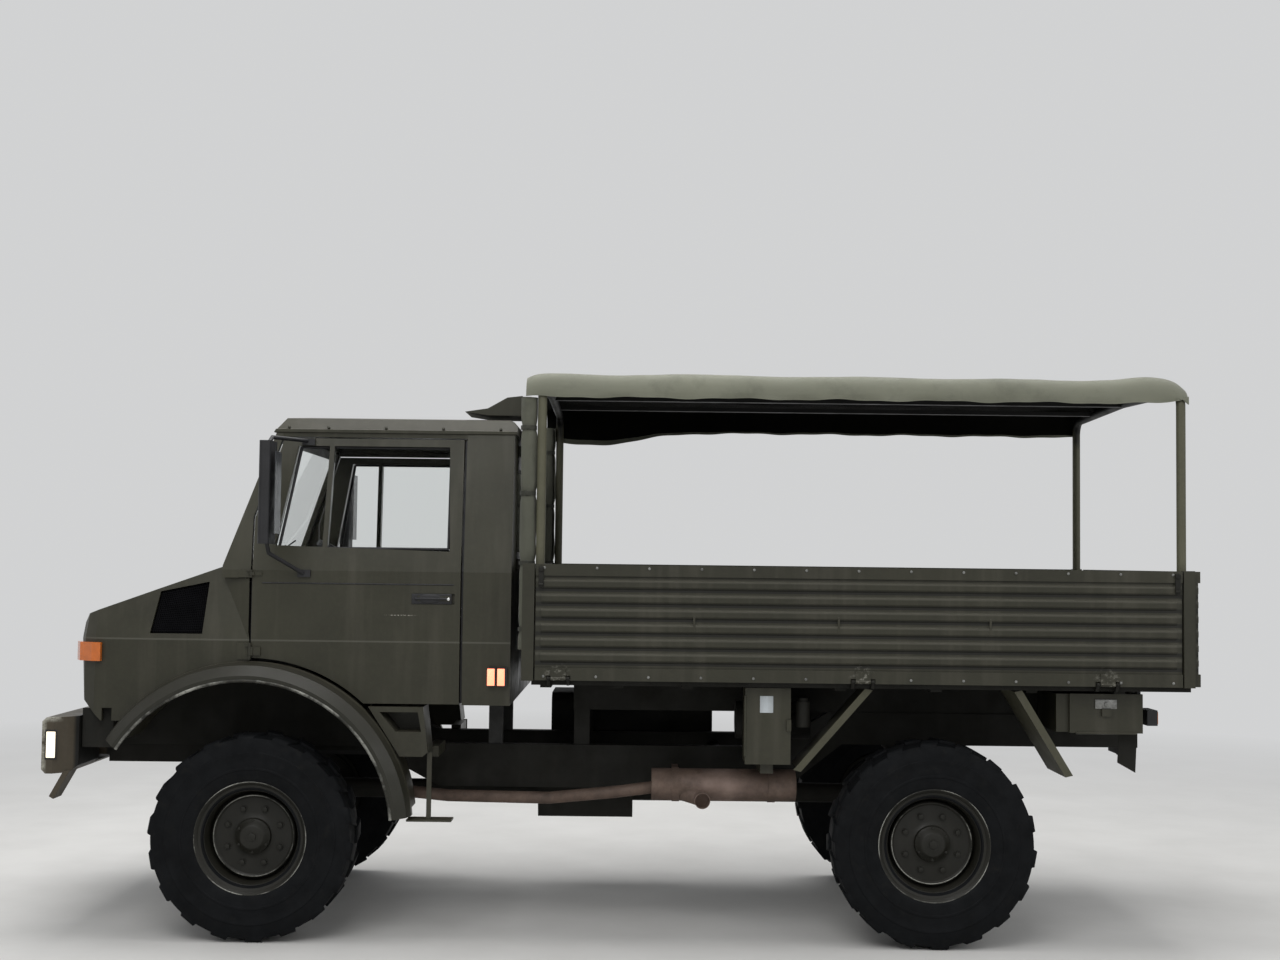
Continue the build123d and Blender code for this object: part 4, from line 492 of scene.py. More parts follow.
def canvas_cloth(name, colour, sheen=0.12):
    """Coated canvas: fine weave, faded patches, water stains and creases."""
    recipe = Recipe(name, Sheen_Weight=sheen, Specular_IOR_Level=0.25 if sheen else 0.05)
    recipe.clouds((1.1, 6), 0.28, 0.72, scaled(colour, 0.80), scaled(colour, 1.18))
    recipe.over(recipe.patches((4.2, 7, 0.7), 0.52, 0.72, 0, 0.55), scaled(colour, 0.62))
    weave = recipe.ribs(260, "DIAGONAL", Distortion=0.6)
    creases = recipe.add("Math", {0: recipe.noise(14, 6, 0.65), 1: 4.0, 2: weave}, operation="MULTIPLY_ADD")
    recipe.bump(creases.outputs[0], 0.35, 0.0022)
    return recipe.done(((7,), 0.68, 0.86))


def tyre_rubber(name, colour, dust):
    """Rubber: near black, grey scuffs, dry mud in the hollows and fine mould grain."""
    recipe = Recipe(name, Specular_IOR_Level=0.12)
    recipe.clouds((6, 6), 0.3, 0.7, scaled(colour, 0.8), scaled(colour, 1.7))
    recipe.over(recipe.patches((13, 8, 0.72), 0.56, 0.78, 0, 0.30), scaled(dust, 0.30))
    recipe.bump(recipe.noise(120, 5, 0.7), 0.30, 0.0012)
    return recipe.done(((16,), 0.62, 0.85))


def rusty_steel(name, rust):
    """Exhaust steel: pinkish brown scale with pale heat marks and pitting."""
    recipe = Recipe(name, Metallic=0.25)
    recipe.clouds((8, 8, 0.7), 0.3, 0.7, scaled(rust, 0.55), scaled(rust, 1.35))
    recipe.over(recipe.patches((2.6, 4), 0.5, 0.7, 0, 0.6), (0.30, 0.22, 0.19))
    recipe.over(recipe.patches((60, 6, 0.8), 0.6, 0.7, 0, 0.6), (0.06, 0.03, 0.02))
    recipe.bump(recipe.noise(90, 7, 0.75), 0.45, 0.0016)
    return recipe.done(((12,), 0.55, 0.85))


def bare_steel(name, colour=(0.20, 0.20, 0.19), rough=0.42):
    """Worn bright steel with dull patches."""
    recipe = Recipe(name, Metallic=0.85)
    recipe.clouds((30, 6), 0.35, 0.7, scaled(colour, 0.6), scaled(colour, 1.4))
    recipe.bump(recipe.noise(150, 5), 0.2, 0.0006)
    return recipe.done(((20,), rough - 0.1, rough + 0.2))


def rubbed_edge(name):
    """Painted highlight: bright stretches along an edge, left dark in others."""
    recipe = Recipe(name, Metallic=0.5)
    recipe.clouds((4.5, 5, 0.65), 0.44, 0.60, (0.020, 0.020, 0.016), (0.30, 0.30, 0.27))
    recipe.over(recipe.patches((70, 6, 0.7), 0.5, 0.65, 0, 0.7), (0.05, 0.045, 0.035))
    recipe.bump(recipe.noise(160, 4), 0.2, 0.0006)
    return recipe.done(((20,), 0.35, 0.6))


def moulded_plastic(name, colour, rough=0.5, gloss=0.4):
    """Black moulded plastic or rubber with a fine grain and grey chalking."""
    recipe = Recipe(name, Specular_IOR_Level=gloss)
    recipe.clouds((9, 5), 0.35, 0.75, colour, scaled(colour, 2.0))
    recipe.bump(recipe.noise(260, 3), 0.25, 0.0006)
    return recipe.done(((14,), rough - 0.1, rough + 0.15))


def lamp_lens(name, colour, ribs, glow=0.0):
    """Coloured lens with moulded ribs, lit where it glows."""
    recipe = Recipe(name, Coat_Weight=0.6, Coat_Roughness=0.08)
    recipe.clouds((18, 3), 0.3, 0.7, scaled(colour, 0.8), colour)
    recipe.bump(recipe.ribs(ribs, "Z"), 0.4, 0.0012)
    if glow:
        recipe.feed(recipe.shader.inputs["Emission Color"], colour)
        recipe.feed(recipe.shader.inputs["Emission Strength"], glow)
    return recipe.done(0.25)


def window_glass(name):
    """Thin clear pane with faint dust."""
    recipe = Recipe(name, Transmission_Weight=1.0, IOR=1.08)
    recipe.tone = (0.94, 0.955, 0.95)
    return recipe.done(recipe.patches((7, 6, 0.7), 0.35, 0.75, 0.0, 0.03))


def seat_fabric(name, colour):
    """Woven seat cloth with small ribs."""
    recipe = Recipe(name, Sheen_Weight=0.25)
    recipe.clouds((22, 5), 0.3, 0.7, scaled(colour, 0.75), scaled(colour, 1.3))
    recipe.bump(recipe.ribs(60, "Y"), 0.35, 0.002)
    return recipe.done(0.88)


FINISH = {}

# Places of the drop sides' hinges, where the paint is chipped: X, Z
HINGE_SPOTS = ((0.35, 1.46), (-1.292, 1.46), (-2.612, 1.46))
# Foot of the lowest pressed rib of the drop sides and tailgate, the ribs' spacing and their number
RIB_LOW, RIB_PITCH, RIB_COUNT = 1.5120, 0.07917, 6


def mix_finishes(colours):
    """Makes every finish once, from the chosen colours."""
    body, dust, cloth = tuple(colours.body), tuple(colours.dust), tuple(colours.cloth)
    FINISH.update(
        body=worn_paint("body_paint", body, dust, 0.45, 0.40, 0.0, cab_marks),
        bed=worn_paint("bed_paint", scaled(body, 0.85), dust, 0.7, 0.50, 0.5),
        ribbed=worn_paint("ribbed_paint", scaled(body, 0.85), dust, 0.7, 0.50, 0.5, rib_dirt),
        bumper=worn_paint("bumper_paint", (0.052, 0.042, 0.028), dust, 0.5, 0.45, 0.5, bumper_wear),
        guard=worn_paint("mudguard_paint", scaled(body, 1.9), dust, 0.6, 0.50, 0.5),
        # Dark chassis paint, made darker still as painted shade under the body.
        chassis=worn_paint("chassis_paint", scaled(body, 0.20), scaled(dust, 0.22), 0.6, 0.72),
        wheel=worn_paint("wheel_paint", scaled(body, 0.24), scaled(dust, 0.25), 0.35, 0.50, 0.7),
        hoop=worn_paint("hoop_paint", scaled(body, 2.6), dust, 0.4, 0.5, 0.8, hidden_slats),
        canvas=canvas_cloth("faded_canvas", cloth),
        # Near black inside of the canopy: painted shade.
        lining=canvas_cloth("canvas_lining", scaled(cloth, 0.03), 0.0),
        curtain=canvas_cloth("curtain_canvas", scaled(cloth, 0.62)),
        strap=canvas_cloth("tie_webbing", scaled(cloth, 0.25)),
        rubber=tyre_rubber("tyre_rubber", tuple(colours.rubber), dust),
        rust=rusty_steel("rusty_steel", tuple(colours.rust)),
        steel=bare_steel("bare_steel"),
        worn_edge=rubbed_edge("rubbed_edge"),
        chrome=bare_steel("lamp_bowl", (0.75, 0.75, 0.74), 0.15),
        plastic=moulded_plastic("black_plastic", (0.007, 0.007, 0.008)),
        screen=moulded_plastic("grille_screen", (0.002, 0.002, 0.0025), 0.8, 0.08),
        engine=worn_paint("engine_paint", (0.012, 0.0125, 0.013), scaled(dust, 0.25), 0.6, 0.6),
        floor_mat=moulded_plastic("rubber_mat", (0.02, 0.02, 0.019), 0.75),
        amber=lamp_lens("amber_lens", (0.62, 0.14, 0.006), 160),
        red=lamp_lens("red_lens", (0.45, 0.02, 0.012), 190),
        marker=lamp_lens("marker_lens", (1.0, 0.24, 0.13), 120, 2.2),
        lit_lens=lamp_lens("lit_lens", (1.0, 0.86, 0.66), 60, 1.1),
        clear_lens=lamp_lens("clear_lens", (0.50, 0.50, 0.47), 90),
        glass=window_glass("window_glass"),
        mirror=moulded_plastic("mirror_glass", (0.030, 0.032, 0.035), 0.16, 0.12),
        seat=seat_fabric("seat_cloth", (0.045, 0.047, 0.040)),
        label=worn_paint("blank_label", (0.40, 0.43, 0.45), dust, 0.3, 0.5),
    )


# Canopy: one sheet over the slats with its skirts, hung in shallow waves

CANOPY_FRONT = 0.548
CANOPY_REAR = -3.072
CANOPY_TOP = 3.110
CANOPY_HALF = 1.100
CANOPY_CORNER = 0.105
SKIRT_LOW = 2.950
# Shares of the girth, from a hem, where the skirt ends and where the rounded corner ends
SKIRT_SHARE, CORNER_SHARE = 0.06, 0.14
# Part of the girth that a hem takes up
HEM_SHARE = 0.014


def dip(value, centre, width):
    """1 at a centre, falling away on both sides like a bell."""
    return math.exp(-(((value - centre) / width) ** 2))


def canopy_point(share_along, share_round, sag, wave):
    """Place on the sheet: 0 to 1 from front to rear, 0 to 1 from left hem to right hem."""
    x = CANOPY_FRONT + (CANOPY_REAR - CANOPY_FRONT) * share_along
    side = 1 if share_round < 0.5 else -1
    across = min(share_round, 1 - share_round)
    # the crown rises behind the rear slat, rounds down at both ends and sags between the hoops
    crown = CANOPY_TOP + 0.020 * dip(share_along, 0.95, 0.05)
    crown -= 0.030 * math.exp(-share_along / 0.012) + 0.055 * math.exp(-(1 - share_along) / 0.012)
    crown -= 0.3 * sag * math.sin(share_along * math.tau * 2) ** 2
    if side > 0:
        hem = SKIRT_LOW + 0.020 + 0.045 * math.exp(-(1 - share_along) / 0.02)
    else:
        hem = SKIRT_LOW - 0.092 * dip(share_along, 0.08, 0.12)
    hem += wave * math.sin(share_along * 41 + side) + 0.5 * wave * math.sin(share_along * 97)
    shoulder = crown - CANOPY_CORNER
    edge = CANOPY_HALF - CANOPY_CORNER
    if across < SKIRT_SHARE:
        part = across / SKIRT_SHARE
        ripple = 0.004 * math.sin(share_along * 67 + side * 2)
        y, z = CANOPY_HALF + ripple * (1 - part), hem + (shoulder - hem) * part
    elif across < CORNER_SHARE:
        angle = (across - SKIRT_SHARE) / (CORNER_SHARE - SKIRT_SHARE) * math.pi / 2
        y, z = edge + CANOPY_CORNER * math.cos(angle), shoulder + CANOPY_CORNER * math.sin(angle)
    else:
        y = edge * (0.5 - across) / (0.5 - CORNER_SHARE)
        ripple = sag * 0.25 * (1 - math.cos(math.tau * 2 * y / edge)) * math.sin(math.pi * share_along)
        z = crown + 0.012 * (1 - (y / edge) ** 2) - ripple
    rough = noise.noise(Vector((x * 2.3, y * side * 3.1, z * 6)))
    rough = 0.006 * (rough + 0.35 * noise.noise(Vector((x * 9, y * side * 8, z * 9))))
    hang = min(1.0, across / 0.08)
    return Vector((x, side * (y + (1 - hang) * rough), z + rough * hang))


def face_along(piece, way):
    """Turns all faces over if most of them look against a direction."""
    if sum(face.normal.dot(Vector(way)) for face in piece.data.polygons) < 0:
        piece.data.flip_normals()


class TRUCK_OT_canopy(bpy.types.Operator):
    """Lays the canvas sheet over the slats and sews its hems"""

    bl_idname = "truck.canopy"
    bl_label = "Canopy sheet"

    def execute(self, context):
        sizes = context.scene.truck_sizes
        sag, wave = sizes.canopy_sag, sizes.hem_wave
        sheet = grid_sheet("canopy_sheet", 110, 64, lambda u, v: canopy_point(u, v, sag, wave))
        girth = path_length(lambda share: canopy_point(0.5, share, sag, wave), 200)
        face_along(sheet, (0, 0, 1))
        modify(sheet, "SUBSURF", levels=1, render_levels=1)
        modify(sheet, "SOLIDIFY", thickness=0.003, offset=-1.0)
        finish_piece(smooth(sheet, 60), "canvas")
        self.line_inside(sheet)
        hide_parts("canopy")
        for tag, near, far, way in (("left", 0.0, HEM_SHARE, 1), ("right", 1.0, 1 - HEM_SHARE, -1)):
            hem = grid_sheet(
                f"canopy_hem_{tag}", 220, 2,
                lambda u, v: canopy_point(u, near + (far - near) * v, sag, wave) - Vector((0, 0, 0.002)),
            )
            face_along(hem, (0, way, 0))
            modify(hem, "SOLIDIFY", thickness=0.008, offset=0.0)
            finish_piece(smooth(hem, 50), "canvas")
        return {"FINISHED"}

    def line_inside(self, sheet):
        """Gives the faces that look at the load space a near black finish: painted shade under the canopy."""
        sheet.data.materials.append(FINISH["lining"])
        for face in sheet.data.polygons:
            outward_way = face.center - Vector((face.center.x, 0, 2.5))
            face.material_index = 1 if face.normal.dot(outward_way) < 0 else 0


# Curtains: each a hanging sheet wound round the leg of the front hoop and tied

ROLL_X = 0.533
ROLL_Y = 1.047
ROLL_LOW = 1.590
ROLL_TOP = 2.965
ROLL_TURNS = 2.2
TIE_HEIGHTS = (1.70, 2.06, 2.44, 2.80)


def roll_point(share_round, share_up, side, depth):
    """Place on a wound sheet: 0 to 1 from the core to the free edge, 0 to 1 from foot to head."""
    z = ROLL_LOW + (ROLL_TOP - ROLL_LOW) * share_up
    tight = max(dip(z, tie, 0.035) for tie in TIE_HEIGHTS)
    angle = side * (share_round * ROLL_TURNS * math.tau + 2.4)
    lumps = noise.noise(Vector((math.cos(angle) * 1.2, math.sin(angle) * 1.2, z * 5 + side * 7)))
    folds = math.sin(angle * 5 / side + z * 9) * 0.35 + lumps
    radius = 0.016 + 0.031 * share_round
    radius += share_round * (depth * 0.45 * folds * (1 - 0.6 * tight) - 0.009 * tight)
    return Vector((ROLL_X + radius * 1.05 * math.cos(angle), side * ROLL_Y + radius * 0.95 * math.sin(angle), z))


class TRUCK_OT_curtains(bpy.types.Operator):
    """Winds the two front curtains round the front hoop's legs and ties them"""

    bl_idname = "truck.curtains"
    bl_label = "Rolled curtains"

    def execute(self, context):
        depth = context.scene.truck_sizes.fold_depth
        for side, tag in SIDES:
            roll = grid_sheet(f"curtain_{tag}", 120, 90, lambda u, v: roll_point(u, v, side, depth))
            width = path_length(lambda share: roll_point(share, 0.5, side, depth), 300)
            modify(roll, "SOLIDIFY", thickness=0.002, offset=0.0)
            finish_piece(smooth(roll, 60), "curtain")
            ties = [
                finish_piece(self.tie(f"curtain_tie_{tag}_{index}", side, height), "strap")
                for index, height in enumerate(TIE_HEIGHTS)
            ]
        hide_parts("curtain_rolls")
        return {"FINISHED"}

    def tie(self, name, side, height):
        """Webbing band round a roll with a knot on its outer side."""
        band = start(
            bpy.ops.mesh.primitive_cylinder_add, "band", vertices=32, radius=0.0415, depth=0.022,
            end_fill_type="NOTHING", location=(ROLL_X, side * ROLL_Y, height),
        )
        modify(band, "SOLIDIFY", thickness=0.003, offset=1.0)
        centre, half = Vector((ROLL_X, side * (ROLL_Y + 0.036), height)), Vector((0.014, 0.010, 0.013))
        return smooth(joined(name, [band, block("knot", centre - half, centre + half, 0.005, 3)]), 45)


# Wheels: spun tyre and rim, bar lugs, nuts and hub, each modelled once and copied to its corner

CORNERS = (("fl", 2.005, 1), ("fr", 2.005, -1), ("rl", -1.695, 1), ("rr", -1.695, -1))
WHEEL_Y = 0.930
HUB_Z = 0.556
# Outer half of the tyre from the tread's middle to the bead: along the axle, radius
TYRE_HALF = (
    (0.0, 0.543), (0.112, 0.542), (0.140, 0.538), (0.152, 0.514), (0.154, 0.466), (0.1575, 0.462),
    (0.1575, 0.452), (0.1555, 0.448), (0.158, 0.410), (0.1565, 0.384), (0.1590, 0.380), (0.1590, 0.371),
    (0.1555, 0.367), (0.149, 0.325), (0.143, 0.305), (0.136, 0.298), (0.122, 0.296), (0.121, 0.262),
    (0.112, 0.2565),
)
# Rim from the hub's outer end over the disc and the barrel to the hub's inner end: along the axle, radius
RIM_PROFILE = (
    (0.102, 0.0), (0.102, 0.058), (0.098, 0.066), (0.082, 0.078), (0.070, 0.094), (0.050, 0.098),
    (0.044, 0.106), (0.040, 0.130), (0.040, 0.206), (0.047, 0.213), (0.050, 0.219), (0.046, 0.226),
    (0.020, 0.229), (0.008, 0.233), (0.006, 0.238), (0.016, 0.2425), (0.070, 0.245), (0.100, 0.252),
    (0.118, 0.262), (0.126, 0.284), (0.136, 0.292), (0.142, 0.300), (0.140, 0.3055), (0.132, 0.300),
    (0.122, 0.276), (0.110, 0.2545), (-0.110, 0.2545), (-0.119, 0.272), (-0.123, 0.288), (-0.129, 0.2935),
    (-0.134, 0.291), (-0.124, 0.280), (-0.118, 0.262), (-0.090, 0.250), (-0.014, 0.246), (-0.006, 0.238),
    (-0.006, 0.100), (-0.062, 0.096), (-0.062, 0.0446), (-0.004, 0.0446), (-0.004, 0.0),
)


class TRUCK_OT_wheels(bpy.types.Operator):
    """Makes one tyre and one rim and copies them to the four corners"""

    bl_idname = "truck.wheels"
    bl_label = "Tyres and rims"

    def execute(self, context):
        tyre, rim = self.tyre(context.scene.truck_sizes.lug_count), self.rim()
        # Bright rings at the dish's edge and the rim's flange: painted highlights.
        rings = [
            smooth(hoop("ring_master", (0, along, 0), radius, 0.0034, 96), 60)
            for radius, along in ((0.219, 0.0492), (0.3030, 0.1405))
        ]
        for corner, x, side in CORNERS:
            body = f"wheel_{corner}"
            place = Matrix.Translation((x, side * WHEEL_Y, HUB_Z)) @ Matrix.Scale(side, 4, (0, 1, 0))
            tread = finish_piece(copied(tyre, f"tyre_visual_{corner}", place), "rubber", body)
            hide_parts(f"tyre_{corner}")
            disc = finish_piece(copied(rim, f"rim_visual_{corner}", place), "wheel", body)
            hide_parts(f"rim_{corner}")
            worn = [copied(ring, "ring", place) for ring in rings]
            finish_piece(joined(f"rim_edges_{corner}", worn), "worn_edge", body)
        for master in (tyre, rim, *rings):
            bpy.data.objects.remove(master)
        return {"FINISHED"}

    def tyre(self, lug_count):
        """Spun carcass with its bar lugs."""
        other_half = [(-along, radius) for along, radius in reversed(TYRE_HALF[1:])]
        carcass = turned("carcass", other_half + list(TYRE_HALF) + other_half[:1], 96)
        smooth(carcass, 32)
        lug = self.lug()
        parts = [carcass]
        for index in range(lug_count):
            for half, shift in ((1, 0), (-1, 0.5)):
                turn = about_axle((index + shift) / lug_count)
                parts.append(copied(lug, "lug", turn @ Matrix.Scale(half, 4, (0, 1, 0))))
        bpy.data.objects.remove(lug)
        return joined("tyre_master", parts)

    def lug(self):
        """Slanted tread bar that turns down over the shoulder."""
        lug = start(
            bpy.ops.mesh.primitive_cube_add, "lug_master", (0.100, 0.124, 0.036), size=1, location=(0, 0.070, 0.538)
        )
        bpy.ops.object.mode_set(mode="EDIT")
        pick_faces(lug, lambda normal: normal.z > 0.9)
        bpy.ops.transform.resize(value=(0.86, 1, 1))
        pick_faces(lug, lambda normal: normal.y > 0.9)
        bpy.ops.transform.translate(value=(0.030, 0, -0.002))
        for value in ((0.006, 0.012, -0.010), (0.004, 0.0045, -0.030), (0.002, 0.0010, -0.020)):
            bpy.ops.mesh.extrude_region_move(TRANSFORM_OT_translate={"value": value})
        bpy.ops.transform.resize(value=(0.75, 1, 0.6))
        bpy.ops.object.mode_set(mode="OBJECT")
        modify(lug, "BEVEL", width=0.0035, segments=2, limit_method="ANGLE")
        return smooth(lug)

    def rim(self):
        """Spun disc and barrel with its nuts, the hub's cap bolts and its plug."""
        parts = [smooth(turned("disc", RIM_PROFILE, 96), 28)]
        for name, count, shift, nut in (
            ("nut", 8, 0.5, (0.155, 0.040, 0.015, 0.018)),
            ("cap_bolt", 6, 0, (0.084, 0.074, 0.007, 0.008)),
            ("hub_plug", 1, 0, (0.0, 0.101, 0.026, 0.010)),
        ):
            for index in range(count):
                parts.append(copied(self.nut(*nut), name, about_axle((index + shift) / count)))
        for name in [piece.name for piece in bpy.data.objects if piece.name.startswith("nut_master")]:
            bpy.data.objects.remove(bpy.data.objects[name])
        return joined("rim_master", parts)

    def nut(self, radius, along, size, height):
        """Hexagonal nut on its washer, facing outward at the top of the wheel."""
        parts = []
        for sides, reach, depth, middle, bevel in (
            (6, size, height, along + height / 2 - 0.001, {"width": size * 0.12, "segments": 2}),
            (24, size * 1.35, 0.004, along + 0.001, {"width": 0.001, "segments": 1}),
        ):
            part = start(
                bpy.ops.mesh.primitive_cylinder_add, "nut_part", vertices=sides, radius=reach, depth=depth,
                location=(0, middle, radius), rotation=(math.pi / 2, 0, 0),
            )
            parts.append(modify(part, "BEVEL", **bevel))
        return smooth(joined("nut_master", parts), 30)


# Body trim: what stands on the painted panels

# Left side of the cab from the sill up: distance from the middle, height
SKIN = ((0.9855, 1.290), (1.000, 1.620), (1.000, 2.004), (0.9046, 2.735))
SEAM = ((0.9930, 1.455), (1.000, 1.620), (1.000, 2.004))
# Foot and head of the leaning door glass: distance from the middle, height
GLASS_FOOT, GLASS_HEAD = (0.957, 2.116), (0.876, 2.696)
# The door's flat side and the height where the wing begins to lean inward
DOOR_Y = 1.0005
WING_Y, WING_BEND, WING_LEAN = 0.994, 1.62, math.radians(9)
# Middle of the wheel arch flare
ARCH_X, ARCH_Z = 2.045, 0.600


def glass_place(x, z):
    """Place just outside the door's glass at that X and Z."""
    (foot_y, foot_z), (head_y, head_z) = GLASS_FOOT, GLASS_HEAD
    return (x, foot_y + (head_y - foot_y) * (z - foot_z) / (head_z - foot_z) + 0.004, z)


def wing_place(x, z, inset):
    """Place on the wing's side at that X and Z, drawn in by an inset."""
    return Vector((x, WING_Y - math.tan(WING_LEAN) * max(0.0, z - WING_BEND) - inset, z))


class TRUCK_OT_cab_trim(bpy.types.Operator):
    """Adds door handles, seals, wipers, mirror glass, nets, cab bolts and the radiator"""

    bl_idname = "truck.cab_trim"
    bl_label = "Cab trim"

    def execute(self, context):
        for side, tag in SIDES:
            for make in (
                self.handle, self.mirror_face, self.window_seal, self.side_screen, self.door_bead,
                self.flare_edge, self.door_seals, self.inner_wing, self.wing_fairing,
            ):
                make(side, tag)
        self.wipers()
        self.roof_bolts(context.scene.truck_sizes.bolt_radius)
        self.front_grille()
        self.radiator()
        return {"FINISHED"}

    def handle(self, side, tag):
        """Dished pull with a recess plate and a bright lock."""
        recess = block("plate", (0.945, DOOR_Y, 1.828), (1.165, 1.006, 1.884), 0.0045, 3)
        bowl = start(
            bpy.ops.mesh.primitive_uv_sphere_add, "bowl", (0.062, 0.006, 0.026), segments=32, ring_count=16,
            radius=1, location=(1.065, 1.008, 1.858),
        )
        grip = block("grip", (0.965, 1.006, 1.850), (1.150, 1.018, 1.864), 0.0055, 3)
        modify(grip, "SUBSURF", levels=1, render_levels=1)
        handle = smooth(joined(f"door_handle_{tag}", [recess, bowl, grip]))
        lock = rod(f"door_lock_{tag}", (0.962, 1.004, 1.856), (0.962, 1.0195, 1.856), 0.008, 20, 0.0015)
        for piece, finish in ((handle, "plastic"), (lock, "chrome")):
            finish_piece(piece, finish, f"door_{tag}", side)

    def mirror_face(self, side, tag):
        """Glass set in the rear face of the mirror's housing."""
        glass = block(f"mirror_glass_{tag}", (1.8605, 1.155, 2.20), (1.8635, 1.305, 2.64), 0.001, 1)
        finish_piece(glass, "mirror", f"door_{tag}", side)

    def window_seal(self, side, tag):
        """Black rubber channel round the door window with its dividing bar."""
        outline = ((0.972, 2.128), (1.905, 2.128), (1.806, 2.690), (0.972, 2.690))
        parts = [
            rod("seal", glass_place(*here), glass_place(*there), 0.008, 12)
            for here, there in zip(outline, outline[1:] + outline[:1])
        ]
        parts.append(rod("bar", glass_place(1.652, 2.12), glass_place(1.640, 2.70), 0.010, 12))
        finish_piece(joined(f"window_seal_{tag}", parts), "plastic", f"door_{tag}", side)

    def side_screen(self, side, tag):
        """Black mesh in the opening of the wing: a backing and a net of wires."""
        corners = ((2.594, 1.654), (2.550, 1.875), (2.290, 1.930), (2.313, 1.654))
        low_front, top_front, top_rear, low_rear = (wing_place(x, z, 0.014) for x, z in corners)
        wires = []
        for count, first, second in (
            (26, (low_front, low_rear), (top_front, top_rear)),
            (20, (low_front, top_front), (low_rear, top_rear)),
        ):
            for step in range(1, count):
                ends = (here.lerp(there, step / count) for here, there in (first, second))
                wires.append(rod("wire", *ends, 0.0024, 6))
        net = joined(f"side_screen_{tag}", wires)
        around = ((2.604, 1.644), (2.560, 1.886), (2.280, 1.942), (2.303, 1.644))
        backing = plate(f"side_backing_{tag}", [wing_place(x, z, 0.045) for x, z in around], 0.004)
        for piece in (net, backing):
            finish_piece(piece, "screen", side=side)

    def door_bead(self, side, tag):
        """Black rod across the door above its handle: painted shade of the door's pressed line."""
        bead = rod(f"door_bead_{tag}", (0.935, DOOR_Y, 1.934), (1.985, DOOR_Y, 1.934), 0.0035, 10)
        finish_piece(bead, "plastic", f"door_{tag}", side)

    def door_seals(self, side, tag):
        """Black rubber in the gaps in front of the door and behind it."""
        strips = []
        for x_low, x_high, stations in ((0.8838, 0.8962, SKIN), (2.0412, 2.0492, SEAM)):
            for (y_low, z_low), (y_high, z_high) in zip(stations, stations[1:]):
                foot, head = (y_low - 0.026, z_low), (y_high - 0.026, z_high)
                corners = ((x_low, *foot), (x_high, *foot), (x_high, *head), (x_low, *head))
                strips.append(plate("strip", corners, 0.006))
        finish_piece(joined(f"door_seals_{tag}", strips), "plastic", side=side)

    def wing_fairing(self, side, tag):
        """Smooth sheet from the wing's leaning side out to the door's front edge."""
        low, top = 1.628, 1.957
        corners = (
            (2.0565, 0.9965, low), wing_place(2.105, low, -0.002), wing_place(2.205, top, -0.002),
            (2.0565, 0.9965, top),
        )
        finish_piece(plate(f"wing_fairing_{tag}", corners, 0.003), "body", side=side)

    def inner_wing(self, side, tag):
        """Dark panels inside the wheel arch, and the cheek between the nose and the bumper."""
        panels = [
            plate("panel", ((rear, y, low), (front, y, low), (front, y, high), (rear, y, high)), 0.005)
            for y, rear, front, low, high in ((0.470, 1.45, 2.93, 0.99, 1.62), (0.925, 2.800, 2.972, 1.02, 1.235))
        ]
        finish_piece(joined(f"inner_wing_{tag}", panels), "chassis", side=side)

    def flare_edge(self, side, tag):
        """Painted highlight along the wheel arch flare's lip."""
        edge = hoop(f"flare_edge_{tag}", (ARCH_X, side * 1.127, ARCH_Z), 0.807, 0.0090, 128)
        bpy.ops.object.mode_set(mode="EDIT")
        for angle, way in ((32.5, 1), (175.0, -1)):
            turn = math.radians(angle)
            bpy.ops.mesh.select_all(action="SELECT")
            bpy.ops.mesh.bisect(
                plane_co=(ARCH_X, 0, ARCH_Z), plane_no=(-way * math.sin(turn), 0, way * math.cos(turn)),
                use_fill=True, clear_inner=True,
            )
        bpy.ops.object.mode_set(mode="OBJECT")
        finish_piece(smooth(edge, 50), "worn_edge")

    def wipers(self):
        """Two wipers parked at the foot of the windscreen."""
        for index, y in enumerate((0.52, -0.18)):
            pivot = rod("pivot", (2.192, y, 2.034), (2.214, y, 2.052), 0.016, 20, 0.003)
            arm = rod("arm", (2.206, y, 2.050), (2.182, y - 0.33, 2.150), 0.006, 10)
            blade = rod("blade", (2.200, y - 0.10, 2.088), (2.166, y - 0.55, 2.185), 0.005, 8)
            finish_piece(joined(f"wiper_{index}", [pivot, arm, blade]), "plastic")

    def roof_bolts(self, bolt):
        """Bolts along the roof's side seams."""
        heads = [
            rod("bolt", (x, side * 0.880, 2.800), (x, side * 0.893, 2.803), bolt * 0.8, 12, 0.0015)
            for side, _ in SIDES
            for x in (0.70, 1.02, 1.34, 1.66, 1.88)
        ]
        finish_piece(joined("roof_bolts", heads), "body")

    def front_grille(self):
        """Net behind the front air slots."""
        wires = []
        for step in range(31):
            y = -0.50 + step / 30
            wires.append(rod("wire", (2.935, y, 1.325), (2.962, y, 1.625), 0.002, 6))
        for step in range(11):
            z = 1.33 + 0.029 * step
            x = 2.9355 + 0.09 * (z - 1.325)
            wires.append(rod("wire", (x, -0.51, z), (x, 0.51, z), 0.002, 6))
        finish_piece(joined("front_screen", wires), "screen")

    def radiator(self):
        """Finned core with two tanks and two feet, behind the air slots."""
        parts = [
            block(name, low, high, bevel, segments)
            for name, low, high, bevel, segments in (
                ("core", (2.580, -0.46, 1.14), (2.622, 0.46, 1.64), 0.004, 2),
                ("tank", (2.566, -0.47, 1.64), (2.636, 0.47, 1.69), 0.012, 3),
                ("tank", (2.566, -0.47, 1.09), (2.636, 0.47, 1.14), 0.012, 3),
                ("foot", (2.575, -0.43, 0.98), (2.627, -0.37, 1.10), 0.004, 2),
                ("foot", (2.575, 0.37, 0.98), (2.627, 0.43, 1.10), 0.004, 2),
            )
        ]
        for step in range(45):
            z = 1.152 + 0.011 * step
            corners = [(x, y, z) for x, y in ((2.621, -0.455), (2.632, -0.455), (2.632, 0.455), (2.621, 0.455))]
            parts.append(plate("fin", corners, 0.003))
        finish_piece(joined("radiator", parts), "engine")


